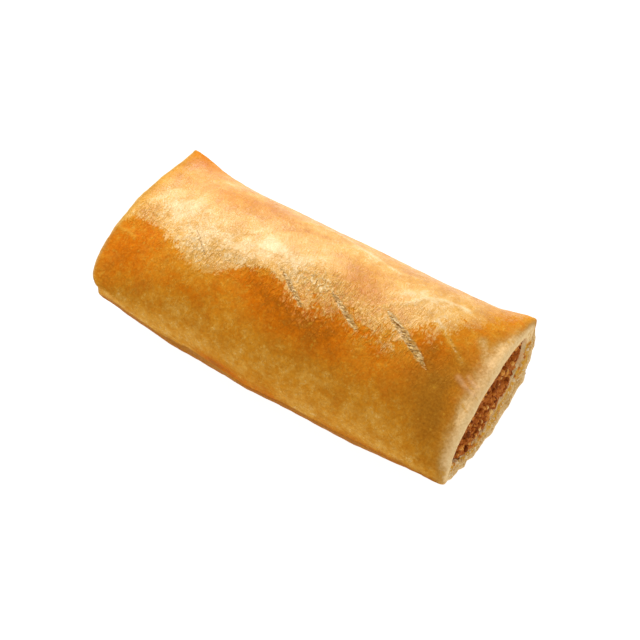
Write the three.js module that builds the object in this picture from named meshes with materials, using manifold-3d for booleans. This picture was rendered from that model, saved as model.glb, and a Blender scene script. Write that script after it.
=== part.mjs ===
// A baked fish roll: a casing of pastry rolled round a minced filling that runs through it from end to end.
// Millimetres. +X runs along the roll to its right-hand end, +Y to its far side and +Z up from its flat base.
//
// The casing is one closed skin: along the outside, over the lip of the right-hand end, back along the
// tunnel and over the lip of the left-hand end. Round the roll a place is named by its turn, which counts
// the four stretches of the outline: 0 to 1 is the crown from the far ear to the near ear, 1 to 2 the near
// side down to the base, 2 to 3 the flat base and 3 to 4 the far side up again. Along the roll a place is
// named by its station, the distance from the middle before the ends bulge.

import * as THREE from "three";
import { mergeVertices } from "three/addons/utils/BufferGeometryUtils.js";
import Module from "manifold-3d";

// ---- Driving dimensions, mm ----

const LENGTH = 128; // between the ears at the two ends
const BASE_SHIFT = { x: 1.94, y: -1.35 }; // brings the middle of the base to the origin

// Outlines across the roll, at its middle and at its two ends. The casing's has its half width, the height
// of its crown and of its ears, where it is widest, where its flat base ends on the near and the far side,
// its shift to the far side, and the roundness of its crown and of its near and far lower corners: 1 is
// straight, 2 is an ellipse and more is squarer.
const CASING = {
  middle: {
    half: 30.5,
    crown: 38.1,
    ear: 14.4,
    baseNear: -15.5,
    baseFar: 17,
    shift: 0,
    crownRound: 2.6,
    nearRound: 2,
    farRound: 2,
  },
  right: {
    half: 33.2,
    crown: 32.5,
    ear: 17.9,
    baseNear: 1.5,
    baseFar: 9.5,
    shift: 1,
    crownRound: 1.7,
    nearRound: 1.2,
    farRound: 2.9,
  },
  left: {
    half: 31,
    crown: 28.6,
    ear: 23,
    baseNear: -3,
    baseFar: 3,
    shift: 1,
    crownRound: 2.2,
    nearRound: 2.2,
    farRound: 2,
  },
};

// The tunnel that the filling lies in has its half width, top and bottom, the height of its near and far
// corner, its shift to the far side, and the roundness of its curves.
const TUNNEL = {
  middle: { half: 24.5, top: 33.4, bottom: 4.6, nearCorner: 14, farCorner: 14, shift: 0, round: 2.5 },
  right: { half: 25.4, top: 28, bottom: 8, nearCorner: 22.5, farCorner: 20, shift: 0.7, round: 2 },
  left: { half: 24, top: 24.6, bottom: 9, nearCorner: 20, farCorner: 20, shift: 1, round: 2 },
};

// How far from each end the roll starts to be pinched, and how gently.
const PINCH = { right: 36, left: 34.5, ease: 1.5 };

// How far past the ears the middle of each end's upper and lower lip stands, on the outside and at the
// mouth of the tunnel, and how much more so on each lip's far side.
const LIP = {
  right: { upper: -0.9, lower: 3.2, mouthUpper: -1.1, mouthLower: 1, skewUpper: 0, skewLower: 0.5 },
  left: { upper: 7.3, lower: 2, mouthUpper: 5.5, mouthLower: 1, skewUpper: -0.2, skewLower: 0 },
};

// The ears at the four corners are pulled along the roll, to the side and up. The sharper an ear is, the
// closer its pull keeps to the corner.
const EARS = [
  { end: -1, side: 1, along: 3.6, out: 1.8, up: 0, sharpness: 8.5 },
  { end: -1, side: -1, along: 0.5, out: 0, up: 1.6, sharpness: 5 },
  { end: 1, side: 1, along: -0.7, out: 0.7, up: 1.3, sharpness: 8 },
  { end: 1, side: -1, along: 1.2, out: -0.1, up: 0.3, sharpness: 5 },
];
const EAR_REACH = 13; // how far along the roll the pull is felt

// Shallow rises and dents of the crust: where they are, how far they reach along and round the roll, and
// their height.
const SWELLS = [
  { station: -46, turn: 1.5, along: 10, round: 0.5, height: -0.45 },
  { station: -8, turn: 1.4, along: 12, round: 0.5, height: 0.3 },
  { station: 24, turn: 1.4, along: 12, round: 0.5, height: 0.35 },
  { station: -30, turn: 1, along: 8, round: 0.25, height: -1 },
  { station: -6, turn: 1.05, along: 10, round: 0.3, height: 0.7 },
  { station: -30, turn: 0.06, along: 12, round: 0.2, height: -0.2 },
  { station: -52, turn: 0.54, along: 5, round: 0.06, height: -0.5 },
  { station: -28, turn: 0.56, along: 7, round: 0.07, height: -0.5 },
  { station: 33, turn: 0.37, along: 8, round: 0.05, height: 0.6 },
  { station: 50, turn: 0.52, along: 7, round: 0.08, height: -0.5 },
  { station: -13, turn: 0.455, along: 6, round: 0.06, height: 0.5 },
];
const SWELL_FOOT = 4; // they fade out over this height above the base

// The knife scores on the crown, from their far end to their near end.
const SCORES = [
  { from: { station: -40, turn: 0.517 }, to: { station: -31.4, turn: 0.611 }, width: 1, depth: 0.4 },
  { from: { station: -12.4, turn: 0.5 }, to: { station: 3, turn: 0.614 }, width: 1.8, depth: 0.7 },
  { from: { station: 6, turn: 0.497 }, to: { station: 22, turn: 0.597 }, width: 2, depth: 0.7 },
  { from: { station: 24, turn: 0.464 }, to: { station: 45.8, turn: 0.592 }, width: 2.6, depth: 0.9 },
  { from: { station: 40.2, turn: 0.419 }, to: { station: 53.4, turn: 0.503 }, width: 1.2, depth: 0.5 },
];

// A lip's edge is rounded: its rings lie so far across it, outside to inside, and so far back.
const LIP_RINGS = [
  { across: 0.06, back: 0.55 },
  { across: 0.32, back: 0 },
  { across: 0.7, back: 0 },
];
const LIP_ROUND = 2.2; // how far back from the edge the rounding starts
const CRUMB = { grain: 3.2, upper: 0.25, lower: 0.8 }; // how coarse and how deep the lips' torn crumb is

const GAP = 0.4; // between the casing and the filling
const MINCE = { grain: 3, depth: 1, standBackTop: 2.6, standBackBottom: 0.9, floor: 10, ceiling: 28 };

// ---- Fineness ----

const AROUND = 64; // faces round the roll, half of them on the crown
const OUTSIDE_STEPS = 40;
const TUNNEL_STEPS = 12;
const END_CROWDING = 0.35; // how much closer together the rings lie towards the ends
const MINCE_RINGS = 9; // on each end face of the filling
const FACE_DEPTH = 4; // of the filling's ends, which are shaped apart from its length
const SCORE_FACES = { round: 10, along: 14 };
const SCORE_LIFT = 0.3; // how far above the crust a score is widest
const WELD = 1e-4; // points closer than this are one point

const HALF_LENGTH = LENGTH / 2;
const HALF_WAY = { top: 0.5, bottom: 2.5 }; // the turns in the middle of the crown and of the base
const LOOP = { radius: 2, thickness: 1 }; // of the ring that is laid out as the casing

// The whole numbers that scatter the values of a lattice's corners, and the largest value.
const LATTICE = { i: 374761393, j: 668265263, k: 1274126177, largest: 0xffffffff };

const LOOKS = {
  pastry: { color: 0xc9862f, roughness: 0.4, metalness: 0 },
  filling: { color: 0x8a4724, roughness: 0.6, metalness: 0 },
};

// ---- Small helpers ----

const clamp01 = (t) => Math.min(1, Math.max(0, t));
const smooth = (t) => clamp01(t) ** 2 * (3 - 2 * clamp01(t));
const mix = (a, b, t) => a + (b - a) * t;
const rounded = (value, roundness) => Math.abs(value) ** (2 / roundness);

// A steady scattered value from 0 to 1 for each corner of a lattice.
function latticeValue(i, j, k) {
  let bits = Math.imul(i, LATTICE.i) + Math.imul(j, LATTICE.j) + Math.imul(k, LATTICE.k);
  bits = Math.imul(bits ^ (bits >>> 13), LATTICE.k);
  bits ^= bits >>> 16;
  return (bits >>> 0) / LATTICE.largest;
}

// Smooth lumps over space, from -1 to 1.
function lumps(place, grain) {
  const at = place.toArray().map((value) => value / grain);
  const low = at.map(Math.floor);
  const part = at.map((value, axis) => smooth(value - low[axis]));
  let sum = 0;
  for (const i of [0, 1]) {
    for (const j of [0, 1]) {
      for (const k of [0, 1]) {
        const share = [i, j, k].map((step, axis) => (step ? part[axis] : 1 - part[axis]));
        sum += share[0] * share[1] * share[2] * latticeValue(low[0] + i, low[1] + j, low[2] + k);
      }
    }
  }
  return 2 * sum - 1;
}

// ---- The form of the roll ----

// The sizes of an outline at a station, blended from those of the middle and of the two pinched ends.
function sizesAt(outline, station) {
  const right = smooth(1 - (HALF_LENGTH - station) / PINCH.right) ** PINCH.ease;
  const left = smooth(1 - (HALF_LENGTH + station) / PINCH.left) ** PINCH.ease;
  const names = Object.keys(outline.middle);
  const blend = (name) =>
    outline.middle[name] * (1 - right - left) + outline.right[name] * right + outline.left[name] * left;
  return Object.fromEntries(names.map((name) => [name, blend(name)]));
}

// How far a point moves along the roll where its ends stand out by so much.
function bulge(station, right, left) {
  const share = (station / HALF_LENGTH) ** 2;
  return station > 0 ? share * right : -share * left;
}

// A point of the casing's outline before the ends bulge, as its place across and up.
function casingOutline(sizes, turn) {
  const { half, crown, ear, baseNear, baseFar } = sizes;
  if (turn <= 1) {
    const angle = Math.PI * turn;
    return [half * Math.cos(angle), mix(ear, crown, rounded(Math.sin(angle), sizes.crownRound))];
  }
  if (turn < 2) {
    const angle = (Math.PI / 2) * (turn - 1);
    const out = rounded(Math.cos(angle), sizes.nearRound);
    return [mix(baseNear, -half, out), ear * (1 - rounded(Math.sin(angle), sizes.nearRound))];
  }
  if (turn <= 3) return [mix(baseNear, baseFar, turn - 2), 0];
  const angle = (Math.PI / 2) * (4 - turn);
  const out = rounded(Math.cos(angle), sizes.farRound);
  return [mix(baseFar, half, out), ear * (1 - rounded(Math.sin(angle), sizes.farRound))];
}

// The pull of the ears on a point at a station, so far across the outline: -1 is near and 1 is far.
function earPull(station, across) {
  const pull = new THREE.Vector3();
  for (const ear of EARS) {
    const reach = smooth(1 - (HALF_LENGTH - ear.end * station) / EAR_REACH);
    const weight = reach * Math.max(0, ear.side * across) ** ear.sharpness;
    pull.add(new THREE.Vector3(ear.end * ear.along, ear.side * ear.out, ear.up).multiplyScalar(weight));
  }
  return pull;
}

// How far the rises and dents push the crust out.
function swellAt(station, turn) {
  let height = 0;
  for (const swell of SWELLS) {
    const round = Math.min(Math.abs(turn - swell.turn), 4 - Math.abs(turn - swell.turn));
    const reach = ((station - swell.station) / swell.along) ** 2 + (round / swell.round) ** 2;
    height += swell.height * Math.exp(-reach);
  }
  return height;
}

// A point of the casing's outside.
function outside(station, turn) {
  const sizes = sizesAt(CASING, station);
  const [y, z] = casingOutline(sizes, turn);
  const across = y / sizes.half;
  const arch = Math.sqrt(Math.max(0, 1 - across ** 2));
  const standOut = ({ upper, lower, skewUpper, skewLower }) =>
    arch * (turn < 1 ? upper * (1 + skewUpper * across) : lower * (1 + skewLower * across));
  const place = new THREE.Vector3(station + bulge(station, standOut(LIP.right), standOut(LIP.left)), y, z);
  place.add(earPull(station, across));
  place.z = Math.max(0, place.z);
  const outward = new THREE.Vector3(0, place.y, place.z - sizes.ear).normalize();
  place.addScaledVector(outward, swellAt(station, turn) * smooth(place.z / SWELL_FOOT));
  place.y += sizes.shift;
  return place;
}

// A point of the tunnel's wall, or of what lies in it with a gap all round.
function inside(station, turn, gap = 0) {
  const sizes = sizesAt(TUNNEL, station);
  const upper = turn <= 1;
  const angle = upper ? Math.PI * turn : (Math.PI * (4 - turn)) / 3;
  const across = Math.cos(angle);
  const arch = Math.sin(angle);
  const corner = mix(sizes.nearCorner, sizes.farCorner, (1 + across) / 2);
  const middle = upper ? sizes.top - gap : sizes.bottom + gap;
  const standOut = ({ mouthUpper, mouthLower, skewUpper, skewLower }) =>
    arch * (upper ? mouthUpper * (1 + skewUpper * across) : mouthLower * (1 + skewLower * across));
  return new THREE.Vector3(
    station + bulge(station, standOut(LIP.right), standOut(LIP.left)),
    (sizes.half - 2 * gap) * across + sizes.shift,
    mix(corner, middle, rounded(arch, sizes.round)),
  );
}

// The turns at which each ring round the roll has its points.
function turnsAround() {
  const crown = AROUND / 2;
  const onCrown = Array.from({ length: crown }, (_, i) => i / crown);
  const onRest = Array.from({ length: AROUND - crown }, (_, i) => 1 + (3 * i) / (AROUND - crown));
  return [...onCrown, ...onRest];
}

// Stations from the left to the right, closer together towards both ends.
function stations(steps, reach) {
  return Array.from({ length: steps + 1 }, (_, i) => {
    const crowding = (END_CROWDING * Math.sin((2 * Math.PI * i) / steps)) / (2 * Math.PI);
    return mix(-reach, reach, i / steps - crowding);
  });
}

// A closed geometry whose points, laid out in rows of AROUND + 1, are moved to where place(row, column)
// puts them.
function relaid(geometry, place) {
  const points = geometry.getAttribute("position");
  for (let i = 0; i < points.count; i++) {
    const at = place(Math.floor(i / (AROUND + 1)), i % (AROUND + 1));
    points.setXYZ(i, at.x + BASE_SHIFT.x, at.y + BASE_SHIFT.y, at.z);
  }
  geometry.deleteAttribute("normal");
  geometry.deleteAttribute("uv");
  return mergeVertices(geometry, WELD);
}

// ---- The casing ----

// A point of a lip: across it from the outside to the mouth, its edge rounded, its crumb torn.
function lipPoint(end, turn, { across, back }) {
  const station = end * HALF_LENGTH;
  const place = outside(station, turn).lerp(inside(station, turn), across);
  const torn = (turn <= 1 ? CRUMB.upper : CRUMB.lower) * lumps(place, CRUMB.grain);
  place.x += end * (torn - back);
  return place;
}

// The casing's rings in order, each a function of the turn: outside, right lip, tunnel, left lip.
function casingRings() {
  const along = stations(OUTSIDE_STEPS, HALF_LENGTH - LIP_ROUND);
  const back = stations(TUNNEL_STEPS, HALF_LENGTH).reverse();
  return [
    ...along.map((station) => (turn) => outside(station, turn)),
    ...LIP_RINGS.map((ring) => (turn) => lipPoint(1, turn, ring)),
    ...back.map((station) => (turn) => inside(station, turn)),
    ...LIP_RINGS.toReversed().map((ring) => (turn) => lipPoint(-1, turn, ring)),
  ];
}

function casingGeometry() {
  const rings = casingRings();
  const turns = turnsAround();
  const torus = new THREE.TorusGeometry(LOOP.radius, LOOP.thickness, rings.length, AROUND);
  return relaid(torus, (row, column) => rings[row % rings.length](turns[column % AROUND]));
}

// ---- The filling ----

// A point of the filling's end face, at the mouth's outline where share is 1 and at its middle where it
// is 0. It stands back from the mouth, more so under the upper lip, and is as lumpy as the mince.
function mincePoint(end, turn, share) {
  const station = end * HALF_LENGTH;
  const middle = inside(station, HALF_WAY.top, GAP).lerp(inside(station, HALF_WAY.bottom, GAP), 0.5);
  const place = middle.lerp(inside(station, turn, GAP), share);
  const height = smooth((place.z - MINCE.floor) / (MINCE.ceiling - MINCE.floor));
  const back = mix(MINCE.standBackBottom, MINCE.standBackTop, height);
  place.x -= end * (back + MINCE.depth * lumps(place, MINCE.grain));
  return place;
}

function fillingGeometry() {
  const turns = turnsAround();
  const shares = Array.from({ length: MINCE_RINGS + 1 }, (_, i) => i / MINCE_RINGS);
  const along = stations(TUNNEL_STEPS, HALF_LENGTH - FACE_DEPTH).reverse();
  const rings = [
    ...shares.map((share) => (turn) => mincePoint(1, turn, share)),
    ...along.map((station) => (turn) => inside(station, turn, GAP)),
    ...shares.toReversed().map((share) => (turn) => mincePoint(-1, turn, share)),
  ];
  const ball = new THREE.SphereGeometry(1, AROUND, rings.length - 1);
  return relaid(ball, (row, column) => rings[row](turns[column % AROUND]));
}

// ---- The knife scores ----

const wasm = await Module();
wasm.setup();

function solidOf(geometry) {
  const vertProperties = Float32Array.from(geometry.getAttribute("position").array);
  const triVerts = Uint32Array.from(geometry.getIndex().array);
  return new wasm.Manifold(new wasm.Mesh({ numProp: 3, vertProperties, triVerts }));
}

function geometryOf(solid) {
  const { vertProperties, triVerts } = solid.getMesh();
  return new THREE.BufferGeometry()
    .setAttribute("position", new THREE.BufferAttribute(Float32Array.from(vertProperties), 3))
    .setIndex(new THREE.BufferAttribute(Uint32Array.from(triVerts), 1));
}

// A ball drawn out along a score and sunk into the crust as deep as the score, to be cut out of it.
function scoreGeometry({ from, to, width, depth }) {
  const ball = new THREE.SphereGeometry(1, SCORE_FACES.round, SCORE_FACES.along);
  const points = ball.getAttribute("position");
  const onCrust = (share) => outside(mix(from.station, to.station, share), mix(from.turn, to.turn, share));
  const along = onCrust(1).sub(onCrust(0)).normalize();
  const above = new THREE.Vector3(0, 0, 1).addScaledVector(along, -along.z).normalize();
  const aside = new THREE.Vector3().crossVectors(along, above);
  for (let i = 0; i < points.count; i++) {
    const [x, y, z] = [points.getX(i), points.getY(i), points.getZ(i)];
    const place = onCrust((1 + y) / 2);
    place.addScaledVector(aside, (x * width) / 2);
    place.addScaledVector(above, SCORE_LIFT + z * (SCORE_LIFT + depth));
    points.setXYZ(i, place.x + BASE_SHIFT.x, place.y + BASE_SHIFT.y, place.z);
  }
  ball.deleteAttribute("normal");
  ball.deleteAttribute("uv");
  return mergeVertices(ball, WELD);
}

function scoredCasing() {
  const cut = (solid, score) => solid.subtract(solidOf(scoreGeometry(score)));
  return SCORES.reduce(cut, solidOf(casingGeometry()));
}

// ---- The roll ----

function piece(name, geometry, material) {
  const mesh = new THREE.Mesh(geometry, material);
  mesh.name = name;
  return mesh;
}

function fishRoll() {
  const bakedPastry = new THREE.MeshStandardMaterial(LOOKS.pastry);
  const fishMince = new THREE.MeshStandardMaterial(LOOKS.filling);
  const roll = new THREE.Group();
  roll.add(piece("pastry", geometryOf(scoredCasing()), bakedPastry));
  roll.add(piece("filling", fillingGeometry(), fishMince));
  return roll;
}

export default fishRoll();
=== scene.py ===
"""A baked fish roll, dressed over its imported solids.

The roll is a casing of pastry round a minced filling. Sizes are in millimetres and become metres where a
mesh is made. +X runs along the roll to its right-hand end, +Y to its far side and +Z up from its base.

A place on the casing is named as in the solids: by its station along the roll, from -64 to 64, and by its
turn round it, where 0 to 1 is the crown from the far ear to the near ear, 1 to 2 the near side, 2 to 3 the
flat base and 3 to 4 the far side. The across of a place is 0 on the outside and 1 on the tunnel's wall.
"""

import logging
import math
from dataclasses import dataclass, fields
from enum import Enum
from types import SimpleNamespace
from typing import Callable

import bmesh
import bpy
import numpy as np
from mathutils import Matrix, Vector, noise


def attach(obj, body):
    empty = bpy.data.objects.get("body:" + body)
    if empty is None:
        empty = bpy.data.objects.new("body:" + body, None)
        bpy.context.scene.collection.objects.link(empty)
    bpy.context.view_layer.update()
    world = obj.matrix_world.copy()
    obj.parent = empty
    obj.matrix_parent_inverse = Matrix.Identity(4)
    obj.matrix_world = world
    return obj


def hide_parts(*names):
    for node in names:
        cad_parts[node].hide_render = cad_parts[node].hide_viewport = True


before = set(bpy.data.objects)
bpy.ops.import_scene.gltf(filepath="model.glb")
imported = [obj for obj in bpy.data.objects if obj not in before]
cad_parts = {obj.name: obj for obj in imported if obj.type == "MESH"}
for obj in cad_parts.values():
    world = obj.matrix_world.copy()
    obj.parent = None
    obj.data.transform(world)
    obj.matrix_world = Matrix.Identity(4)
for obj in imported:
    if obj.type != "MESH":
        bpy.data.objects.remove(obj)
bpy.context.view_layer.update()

MM = 0.001
WELD = 1e-7
TINY = 1e-6
ENDS = (1.0, -1.0)
CROWN_ARC = 92.0
FULL_TURN = 4.0
LOWER_TURNS = 3.0
CROWN_MIDDLE = 0.5
BASE_MIDDLE = 2.5
LOG = logging.getLogger("fish_roll")

# What scatters the values of a lattice's corners, and how a fractal's finer layers fall off and shrink.
SCATTER = (374761393, 668265263, 1274126177)
FIRST_SHIFT = 13
LAST_SHIFT = 16
WORD = 0xFFFFFFFF
FRACTAL_FALL = 1.0
FRACTAL_STEP = 2.0

# How fine the lumps of a scatter's chips are, and how far apart the chips read them.
CHIP_LUMPS = 1.3
CHIP_APART = (7.3, 3.1, 5.7)

Array = np.ndarray
Range = tuple[float, float]
Pairs = tuple[tuple[float, float], ...]
Colour = tuple[float, float, float, float]
Stages = tuple[tuple[float, Colour], ...]
Socket = bpy.types.NodeSocket
Tree = bpy.types.NodeTree


# ---- Small helpers ----


def held(value: Array) -> Array:
    """A value held between 0 and 1."""
    return np.clip(value, 0.0, 1.0)


def smooth(share: Array) -> Array:
    """A soft step from 0 to 1."""
    share = held(share)
    return share * share * (3.0 - 2.0 * share)


def mix(low: Array, high: Array, share: Array) -> Array:
    """A value part of the way from low to high."""
    return low + (high - low) * share


def rounded(value: Array, roundness: float) -> Array:
    """A sine or cosine bent so that its arc has that roundness."""
    return np.abs(value) ** (2.0 / roundness)


def unit(vector: Array) -> Array:
    """A direction of length 1."""
    return vector / np.linalg.norm(vector)


def read_off(table: Pairs, at: Array) -> Array:
    """What a table of pairs gives at places on and between its own."""
    return np.interp(at, *np.array(table).T)


def turn_gap(turn: Array, centre: float) -> Array:
    """How far a turn is from another one, the shorter way round."""
    gap = np.abs(turn - centre)
    return np.minimum(gap, FULL_TURN - gap)


def mouth_turn(angle: Array) -> Array:
    """The turn at an angle round the mouth: 0 to 1 over its upper half, 1 to 2 over its lower half."""
    return np.where(angle < 1.0, angle, 1.0 + (angle - 1.0) * LOWER_TURNS)


def hump(station: Array, turn: Array, spot: "Spot") -> Array:
    """A soft hump of height 1 at a spot of the crust.

    Args:
        station: The points' stations.
        turn: Their turns.
        spot: Where the hump lies and how far it reaches.

    Returns:
        The hump's height at each point.
    """
    along = (station - spot.station) / spot.along
    around = turn_gap(turn, spot.turn) / spot.around
    return np.exp(-(along**2) - around**2)


def humps(station: Array, turn: Array, spots: tuple["Spot", ...]) -> Array:
    """The humps of several spots together, each of its own height."""
    return sum(spot.height * hump(station, turn, spot) for spot in spots)


def path_gap(station: Array, turn: Array, path: Pairs) -> Array:
    """How far points of the crown lie from a path on it.

    Args:
        station: The points' stations.
        turn: Their turns.
        path: The path's corners, each a station and a turn.

    Returns:
        The distance in millimetres.
    """
    places = np.stack([station, turn * CROWN_ARC], 1)
    corners = np.array(path) * (1.0, CROWN_ARC)
    gaps = []
    for start, stop in zip(corners[:-1], corners[1:]):
        run = stop - start
        share = held((places - start) @ run / (run @ run))
        gaps.append(np.linalg.norm(places - start - share[:, None] * run, axis=1))
    return np.min(gaps, axis=0)


def lattice_value(corners: Array) -> Array:
    """A steady scattered value for the corners of a lattice.

    Args:
        corners: The corners' whole numbers, one corner to a row.

    Returns:
        A value from 0 to 1 for each corner.
    """
    bits = (corners @ np.array(SCATTER)) & WORD
    bits = ((bits ^ (bits >> FIRST_SHIFT)) * SCATTER[2]) & WORD
    return (bits ^ (bits >> LAST_SHIFT)) / WORD


def lumps(places: Array, grain: float) -> Array:
    """Smooth lumps over space.

    Args:
        places: The points, one to a row.
        grain: The size of a lump.

    Returns:
        A value from -1 to 1 for each point.
    """
    at = places / grain
    low = np.floor(at).astype(np.int64)
    part = smooth(at - low)
    total = np.zeros(len(places))
    for corner in np.ndindex(2, 2, 2):
        share = np.prod(np.where(corner, part, 1.0 - part), axis=1)
        total += share * lattice_value(low + corner)
    return 2.0 * total - 1.0


@dataclass(frozen=True)
class Unevenness:
    """A layer of natural unevenness: the size of its lumps, its finer layers, and where it is read."""

    grain: float
    octaves: int
    offset: float = 0.0

    def at(self, places: Array) -> Array:
        """The layer's value at each point, about -1 to 1."""
        spots = ((places + self.offset) / self.grain).tolist()
        return np.array([noise.fractal(spot, FRACTAL_FALL, FRACTAL_STEP, self.octaves) for spot in spots])


# ---- The form of the roll ----


@dataclass(frozen=True)
class Spot:
    """A place on the crust and how far it reaches along and round the roll, with what it does there."""

    station: float
    turn: float
    along: float
    around: float
    height: float


@dataclass(frozen=True)
class Fold:
    """A low ridge of the crust along a path, how much paler it is, how floury and how pink."""

    path: Pairs
    width: float
    height: float
    paler: float
    floury: float = 0.0
    pink: float = 0.0


@dataclass(frozen=True)
class CasingSection:
    """The casing's outline across the roll: half width, heights of crown and ears, and its corners."""

    half: float
    crown: float
    ear: float
    base_near: float
    base_far: float
    shift: float
    crown_round: float
    near_round: float
    far_round: float


@dataclass(frozen=True)
class TunnelSection:
    """The outline of the tunnel that the filling lies in."""

    half: float
    top: float
    bottom: float
    near_corner: float
    far_corner: float
    shift: float
    round: float


@dataclass(frozen=True)
class Lip:
    """How far the middle of an end's upper and lower lip stands past the ears, and more on the far side."""

    upper: float
    lower: float
    mouth_upper: float
    mouth_lower: float
    skew_upper: float
    skew_lower: float

    def out(self, upper: float, lower: float, across: Array, above: Array) -> Array:
        """How far an edge stands out whose middle stands out by upper above the ears and lower below them.

        Args:
            upper: How far the middle of its upper half stands out.
            lower: The same for its lower half.
            across: How far to the side each point lies, from -1 to 1.
            above: Which points lie above the ears.

        Returns:
            How far each point stands out, but for the arch of its half.
        """
        out_above = upper * (1.0 + self.skew_upper * across)
        out_below = lower * (1.0 + self.skew_lower * across)
        return np.where(above, out_above, out_below)


@dataclass(frozen=True)
class Ear:
    """The pull on a corner of the roll: along it, to the side and up."""

    end: int
    side: int
    along: float
    out: float
    up: float
    sharpness: float = 5.0


@dataclass(frozen=True)
class Score:
    """A knife score on the crown, from its far end to its near end, and how far it opened in the oven."""

    start: tuple[float, float]
    stop: tuple[float, float]
    width: float
    depth: float
    open: float
    opens_at: float = 0.0
    torn: float = 1.0


@dataclass(frozen=True)
class RollForm:
    """The form of the roll, with the sizes of its solids."""

    half_length: float = 64.0
    base_shift: tuple[float, float, float] = (1.94, -1.35, 0.0)
    casing_middle: CasingSection = CasingSection(30.5, 38.1, 14.4, -15.5, 17.0, 0.0, 2.6, 2.0, 2.0)
    casing_right: CasingSection = CasingSection(33.2, 32.5, 17.9, 1.5, 9.5, 1.0, 1.7, 1.2, 2.9)
    casing_left: CasingSection = CasingSection(31.0, 28.6, 23.0, -3.0, 3.0, 1.0, 2.2, 2.2, 2.0)
    tunnel_middle: TunnelSection = TunnelSection(24.5, 33.4, 4.6, 14.0, 14.0, 0.0, 2.5)
    tunnel_right: TunnelSection = TunnelSection(25.4, 28.0, 8.0, 22.5, 20.0, 0.7, 2.0)
    tunnel_left: TunnelSection = TunnelSection(24.0, 24.6, 9.0, 20.0, 20.0, 1.0, 2.0)
    pinch_right: float = 36.0
    pinch_left: float = 34.5
    pinch_ease: float = 1.5
    lip_right: Lip = Lip(-0.9, 3.2, -1.1, 1.0, 0.0, 0.5)
    lip_left: Lip = Lip(7.3, 2.0, 5.5, 1.0, -0.2, 0.0)
    ears: tuple[Ear, ...] = (
        Ear(-1, 1, 3.6, 1.8, 0.0, 8.5),
        Ear(-1, -1, 0.5, 0.0, 1.6),
        Ear(1, 1, -0.7, 0.7, 1.3, 8.0),
        Ear(1, -1, 1.2, -0.1, 0.3),
    )
    ear_reach: float = 13.0
    swells: tuple[Spot, ...] = (
        Spot(-46.0, 1.5, 10.0, 0.5, -0.45),
        Spot(-8.0, 1.4, 12.0, 0.5, 0.3),
        Spot(24.0, 1.4, 12.0, 0.5, 0.35),
        Spot(-30.0, 1.0, 8.0, 0.25, -1.0),
        Spot(-6.0, 1.05, 10.0, 0.3, 0.7),
        Spot(-30.0, 0.06, 12.0, 0.2, -0.2),
        Spot(-52.0, 0.54, 5.0, 0.06, -0.5),
        Spot(-28.0, 0.56, 7.0, 0.07, -0.5),
        Spot(33.0, 0.37, 8.0, 0.05, 0.6),
        Spot(50.0, 0.52, 7.0, 0.08, -0.5),
        Spot(-13.0, 0.455, 6.0, 0.06, 0.5),
    )
    swell_foot: float = 4.0
    scores: tuple[Score, ...] = (
        Score((-40.0, 0.517), (-31.4, 0.611), 1.0, 0.4, 0.12),
        Score((-12.4, 0.500), (3.0, 0.614), 1.8, 0.7, 0.85, 0.12),
        Score((6.0, 0.497), (22.0, 0.597), 2.0, 0.7, 0.85),
        Score((24.0, 0.464), (45.8, 0.592), 2.6, 0.9, 1.0),
        Score((40.2, 0.419), (53.4, 0.503), 1.2, 0.5, 0.3, 0.0, 0.1),
    )

    def sizes_at(self, outline: str, station: Array) -> SimpleNamespace:
        """The sizes of an outline at each station, blended from the middle's and the two ends'.

        Args:
            outline: Which outline, casing or tunnel.
            station: The stations.

        Returns:
            Each size of the section as an array.
        """
        right = smooth(1.0 - (self.half_length - station) / self.pinch_right) ** self.pinch_ease
        left = smooth(1.0 - (self.half_length + station) / self.pinch_left) ** self.pinch_ease
        sections = [getattr(self, f"{outline}_{part}") for part in ("middle", "right", "left")]
        weights = (1.0 - right - left, right, left)
        names = [size.name for size in fields(sections[0])]
        blended = {name: sum(getattr(s, name) * w for s, w in zip(sections, weights)) for name in names}
        return SimpleNamespace(**blended)

    def bulge(self, station: Array, right: Array, left: Array) -> Array:
        """How far points move along the roll where its ends stand out by so much."""
        share = (station / self.half_length) ** 2
        return np.where(station > 0, share * right, -share * left)

    def casing_outline(self, sizes: SimpleNamespace, turn: Array) -> tuple[Array, Array]:
        """The casing's outline before the ends bulge.

        Args:
            sizes: The outline's sizes at each point.
            turn: The points' turns.

        Returns:
            How far across and how far up each point lies.
        """
        crown = math.pi * np.clip(turn, 0.0, 1.0)
        near = math.pi / 2 * (turn - 1.0)
        far = math.pi / 2 * (FULL_TURN - turn)
        out_near = rounded(np.cos(near), sizes.near_round)
        out_far = rounded(np.cos(far), sizes.far_round)
        stretch = [turn <= 1.0, turn < 2.0, turn <= 3.0]
        flat = mix(sizes.base_near, sizes.base_far, turn - 2.0)
        across = [sizes.half * np.cos(crown), mix(sizes.base_near, -sizes.half, out_near), flat]
        up = [
            mix(sizes.ear, sizes.crown, rounded(np.sin(crown), sizes.crown_round)),
            sizes.ear * (1.0 - rounded(np.sin(near), sizes.near_round)),
            np.zeros_like(turn),
        ]
        far_across = mix(sizes.base_far, sizes.half, out_far)
        far_up = sizes.ear * (1.0 - rounded(np.sin(far), sizes.far_round))
        return np.select(stretch, across, far_across), np.select(stretch, up, far_up)

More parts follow.
